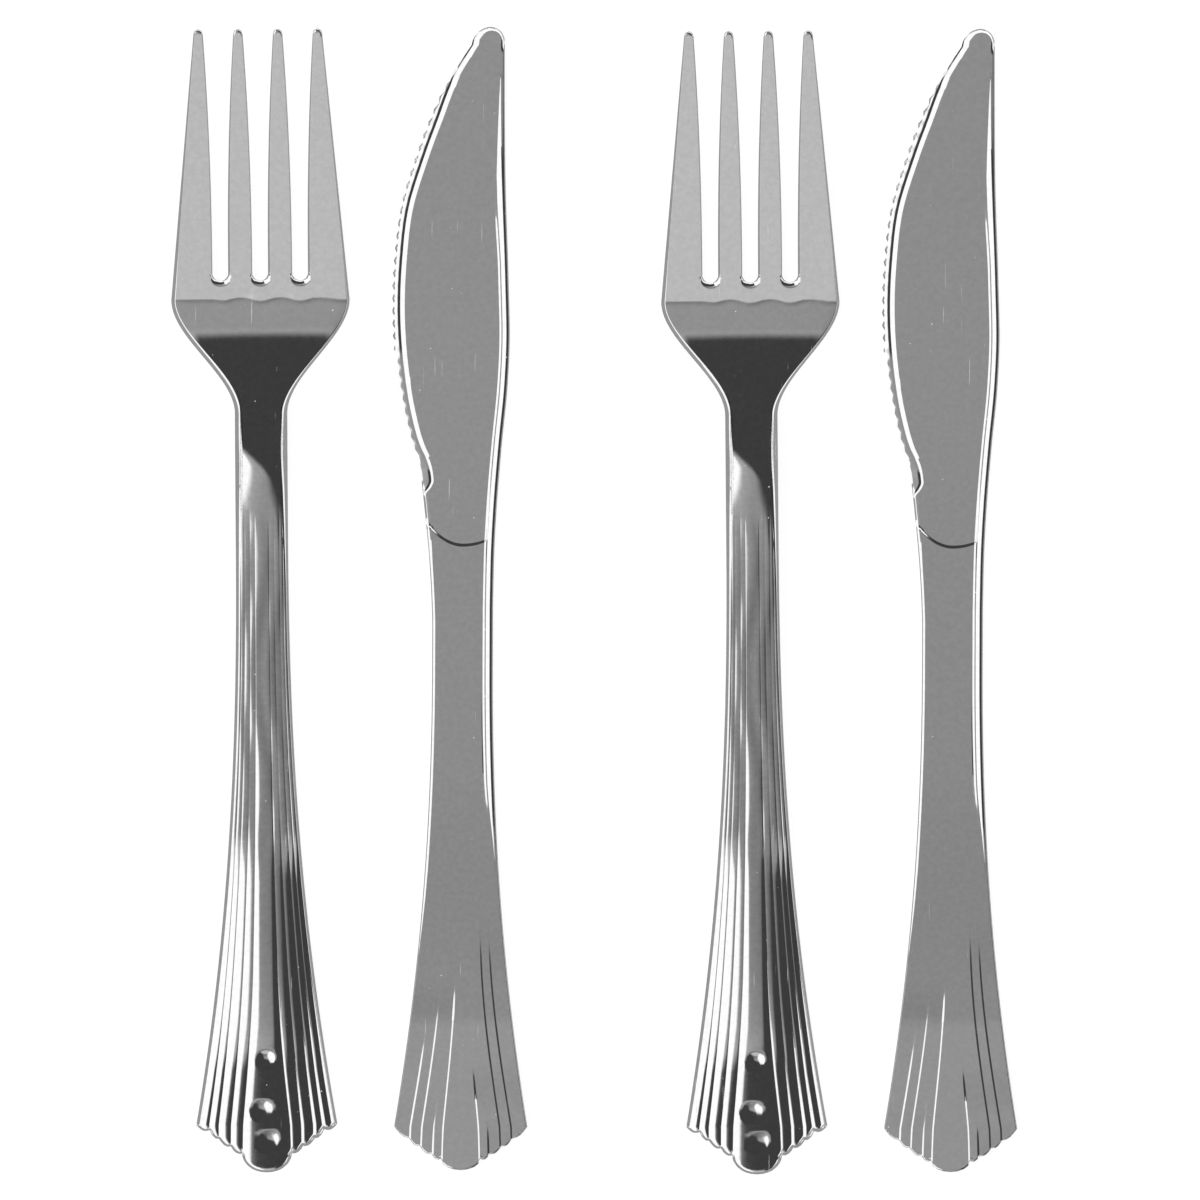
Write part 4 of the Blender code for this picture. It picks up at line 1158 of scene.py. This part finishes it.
def table():
    """Matt white melamine laminate, which shows white and keeps the pieces' faint shadows."""
    corners = [(-TABLE_REACH, -TABLE_REACH, 0), (TABLE_REACH, -TABLE_REACH, 0)]
    corners += [(TABLE_REACH, TABLE_REACH, 0), (-TABLE_REACH, TABLE_REACH, 0)]
    mesh = bpy.data.meshes.new("table")
    mesh.from_pydata(corners, [], [(0, 1, 2, 3)])
    material = bpy.data.materials.new("matt_white_laminate")
    material.use_nodes = True
    tree = material.node_tree
    shader = tree.nodes["Principled BSDF"]
    shader.inputs["Base Color"].default_value = linear("#919191")
    shader.inputs["Roughness"].default_value = 0.9
    shader.inputs["Specular IOR Level"].default_value = 0.0
    shader.inputs["Emission Color"].default_value = linear("#FFFFFF")
    rays = add_node(tree, "ShaderNodeLightPath").outputs
    seen = add_node(tree, MATHS, (rays["Is Camera Ray"], rays["Is Glossy Ray"]), operation="ADD")
    seen = add_node(tree, MATHS, (seen, rays["Is Transmission Ray"]), operation="ADD")
    glow = add_node(tree, MATHS, (seen, TABLE_GLOW), operation="MULTIPLY")
    tree.links.new(glow.outputs[0], shader.inputs["Emission Strength"])
    mesh.materials.append(material)
    obj = bpy.data.objects.new("table", mesh)
    bpy.context.scene.collection.objects.link(obj)


MID_GREY = 0.30
SOUTH_GREY = 0.56
DARK = 0.05
WHITE = 1.15
LOW_GREY = 0.34
LEVEL_REACH = 0.06


def light_tent():
    """The surroundings, by direction: mid grey overhead, white at both sides, dark behind the camera.

    x and y are the lean east and north of a level mirror, seen from above, that shows a direction.
    """
    world = bpy.data.worlds.new("light_tent")
    bpy.context.scene.world = world
    world.use_nodes = True
    tree = world.node_tree
    node = partial(add_node, tree)
    direction = node("ShaderNodeTexCoord").outputs["Generated"]
    parts = node("ShaderNodeSeparateXYZ", (direction,)).outputs
    above = node(MATHS, (parts["Z"], 1.0), operation="ADD")
    above = node(MATHS, (above, 0.02), operation="MAXIMUM")
    x = node(MATHS, (parts["X"], above), operation="DIVIDE")
    y = node(MATHS, (parts["Y"], above), operation="DIVIDE")
    north = node(MATHS, (y, 0.0), operation="MAXIMUM")
    south = node(MATHS, (y, 0.0), operation="MINIMUM")
    east = node(MATHS, (south, 0.3, x), operation="MULTIPLY_ADD")
    east = node(MATHS, (east, 0.0), operation="MAXIMUM")
    near_x, near_y = (node("ShaderNodeClamp", (lean, -LEVEL_REACH, LEVEL_REACH)) for lean in (x, y))
    level = node(MATHS, (near_y, 1.1, MID_GREY), operation="MULTIPLY_ADD")
    level = node(MATHS, (near_x, -1.0, level), operation="MULTIPLY_ADD")
    westward = node(MATHS, (x, 0.0), operation="MINIMUM")
    turned = node(MATHS, (westward, 0.4, y), operation="MULTIPLY_ADD")
    turned = node(MATHS, (turned, 0.0), operation="MAXIMUM")
    northward = node(MATHS, (turned, 0.75), operation="MULTIPLY")
    east_squared = node(MATHS, (east, east), operation="MULTIPLY")
    north_squared = node(MATHS, (northward, northward), operation="MULTIPLY")
    north_east = node(MATHS, (east_squared, north_squared), operation="ADD")
    north_east = node(MATHS, (north_east,), operation="SQRT")
    away_west = node(MATHS, (x, -1.0), operation="MULTIPLY")
    less_north = node(MATHS, (north, 0.4), operation="MULTIPLY")
    west = node(MATHS, (away_west, less_north), operation="SUBTRACT")
    tone = level
    bands = (
        (y, -0.095, -0.15, SOUTH_GREY), (north_east, 0.03, 0.085, DARK), (y, 0.42, 0.46, WHITE),
        (north_east, 0.34, 0.37, WHITE), (west, 0.05, 0.095, WHITE), (parts["Z"], 0.5, 0.46, LOW_GREY),
    )
    for lean, start, end, shade in bands:
        share = node("ShaderNodeMapRange", (lean, start, end), interpolation_type="SMOOTHSTEP")
        tone = node("ShaderNodeMix", {0: share, 2: tone, 3: shade}, data_type="FLOAT")
    tree.links.new(tone.outputs[0], tree.nodes["Background"].inputs["Color"])


table()
light_tent()

lamp = bpy.data.lights.new("overhead_lamp", "AREA")
lamp.shape = "DISK"
lamp.size = 2.0
lamp.energy = 12.0
lamp_holder = bpy.data.objects.new("overhead_lamp", lamp)
lamp_holder.location = (0.0, 0.0, 2.0)
lamp_holder.visible_glossy = False
bpy.context.scene.collection.objects.link(lamp_holder)

VIEW_WIDTH = 0.2
LENS = 800.0
SENSOR = 36.0
camera = bpy.data.cameras.new("camera")
camera.lens = LENS
camera.sensor_width = SENSOR
camera.clip_end = 20.0
camera_holder = bpy.data.objects.new("camera", camera)
camera_holder.location = (0.917 * MM, 0.067 * MM, VIEW_WIDTH * LENS / SENSOR + 3.0 * MM)
bpy.context.scene.collection.objects.link(camera_holder)
bpy.context.scene.camera = camera_holder
bpy.context.scene.view_settings.view_transform = "Standard"
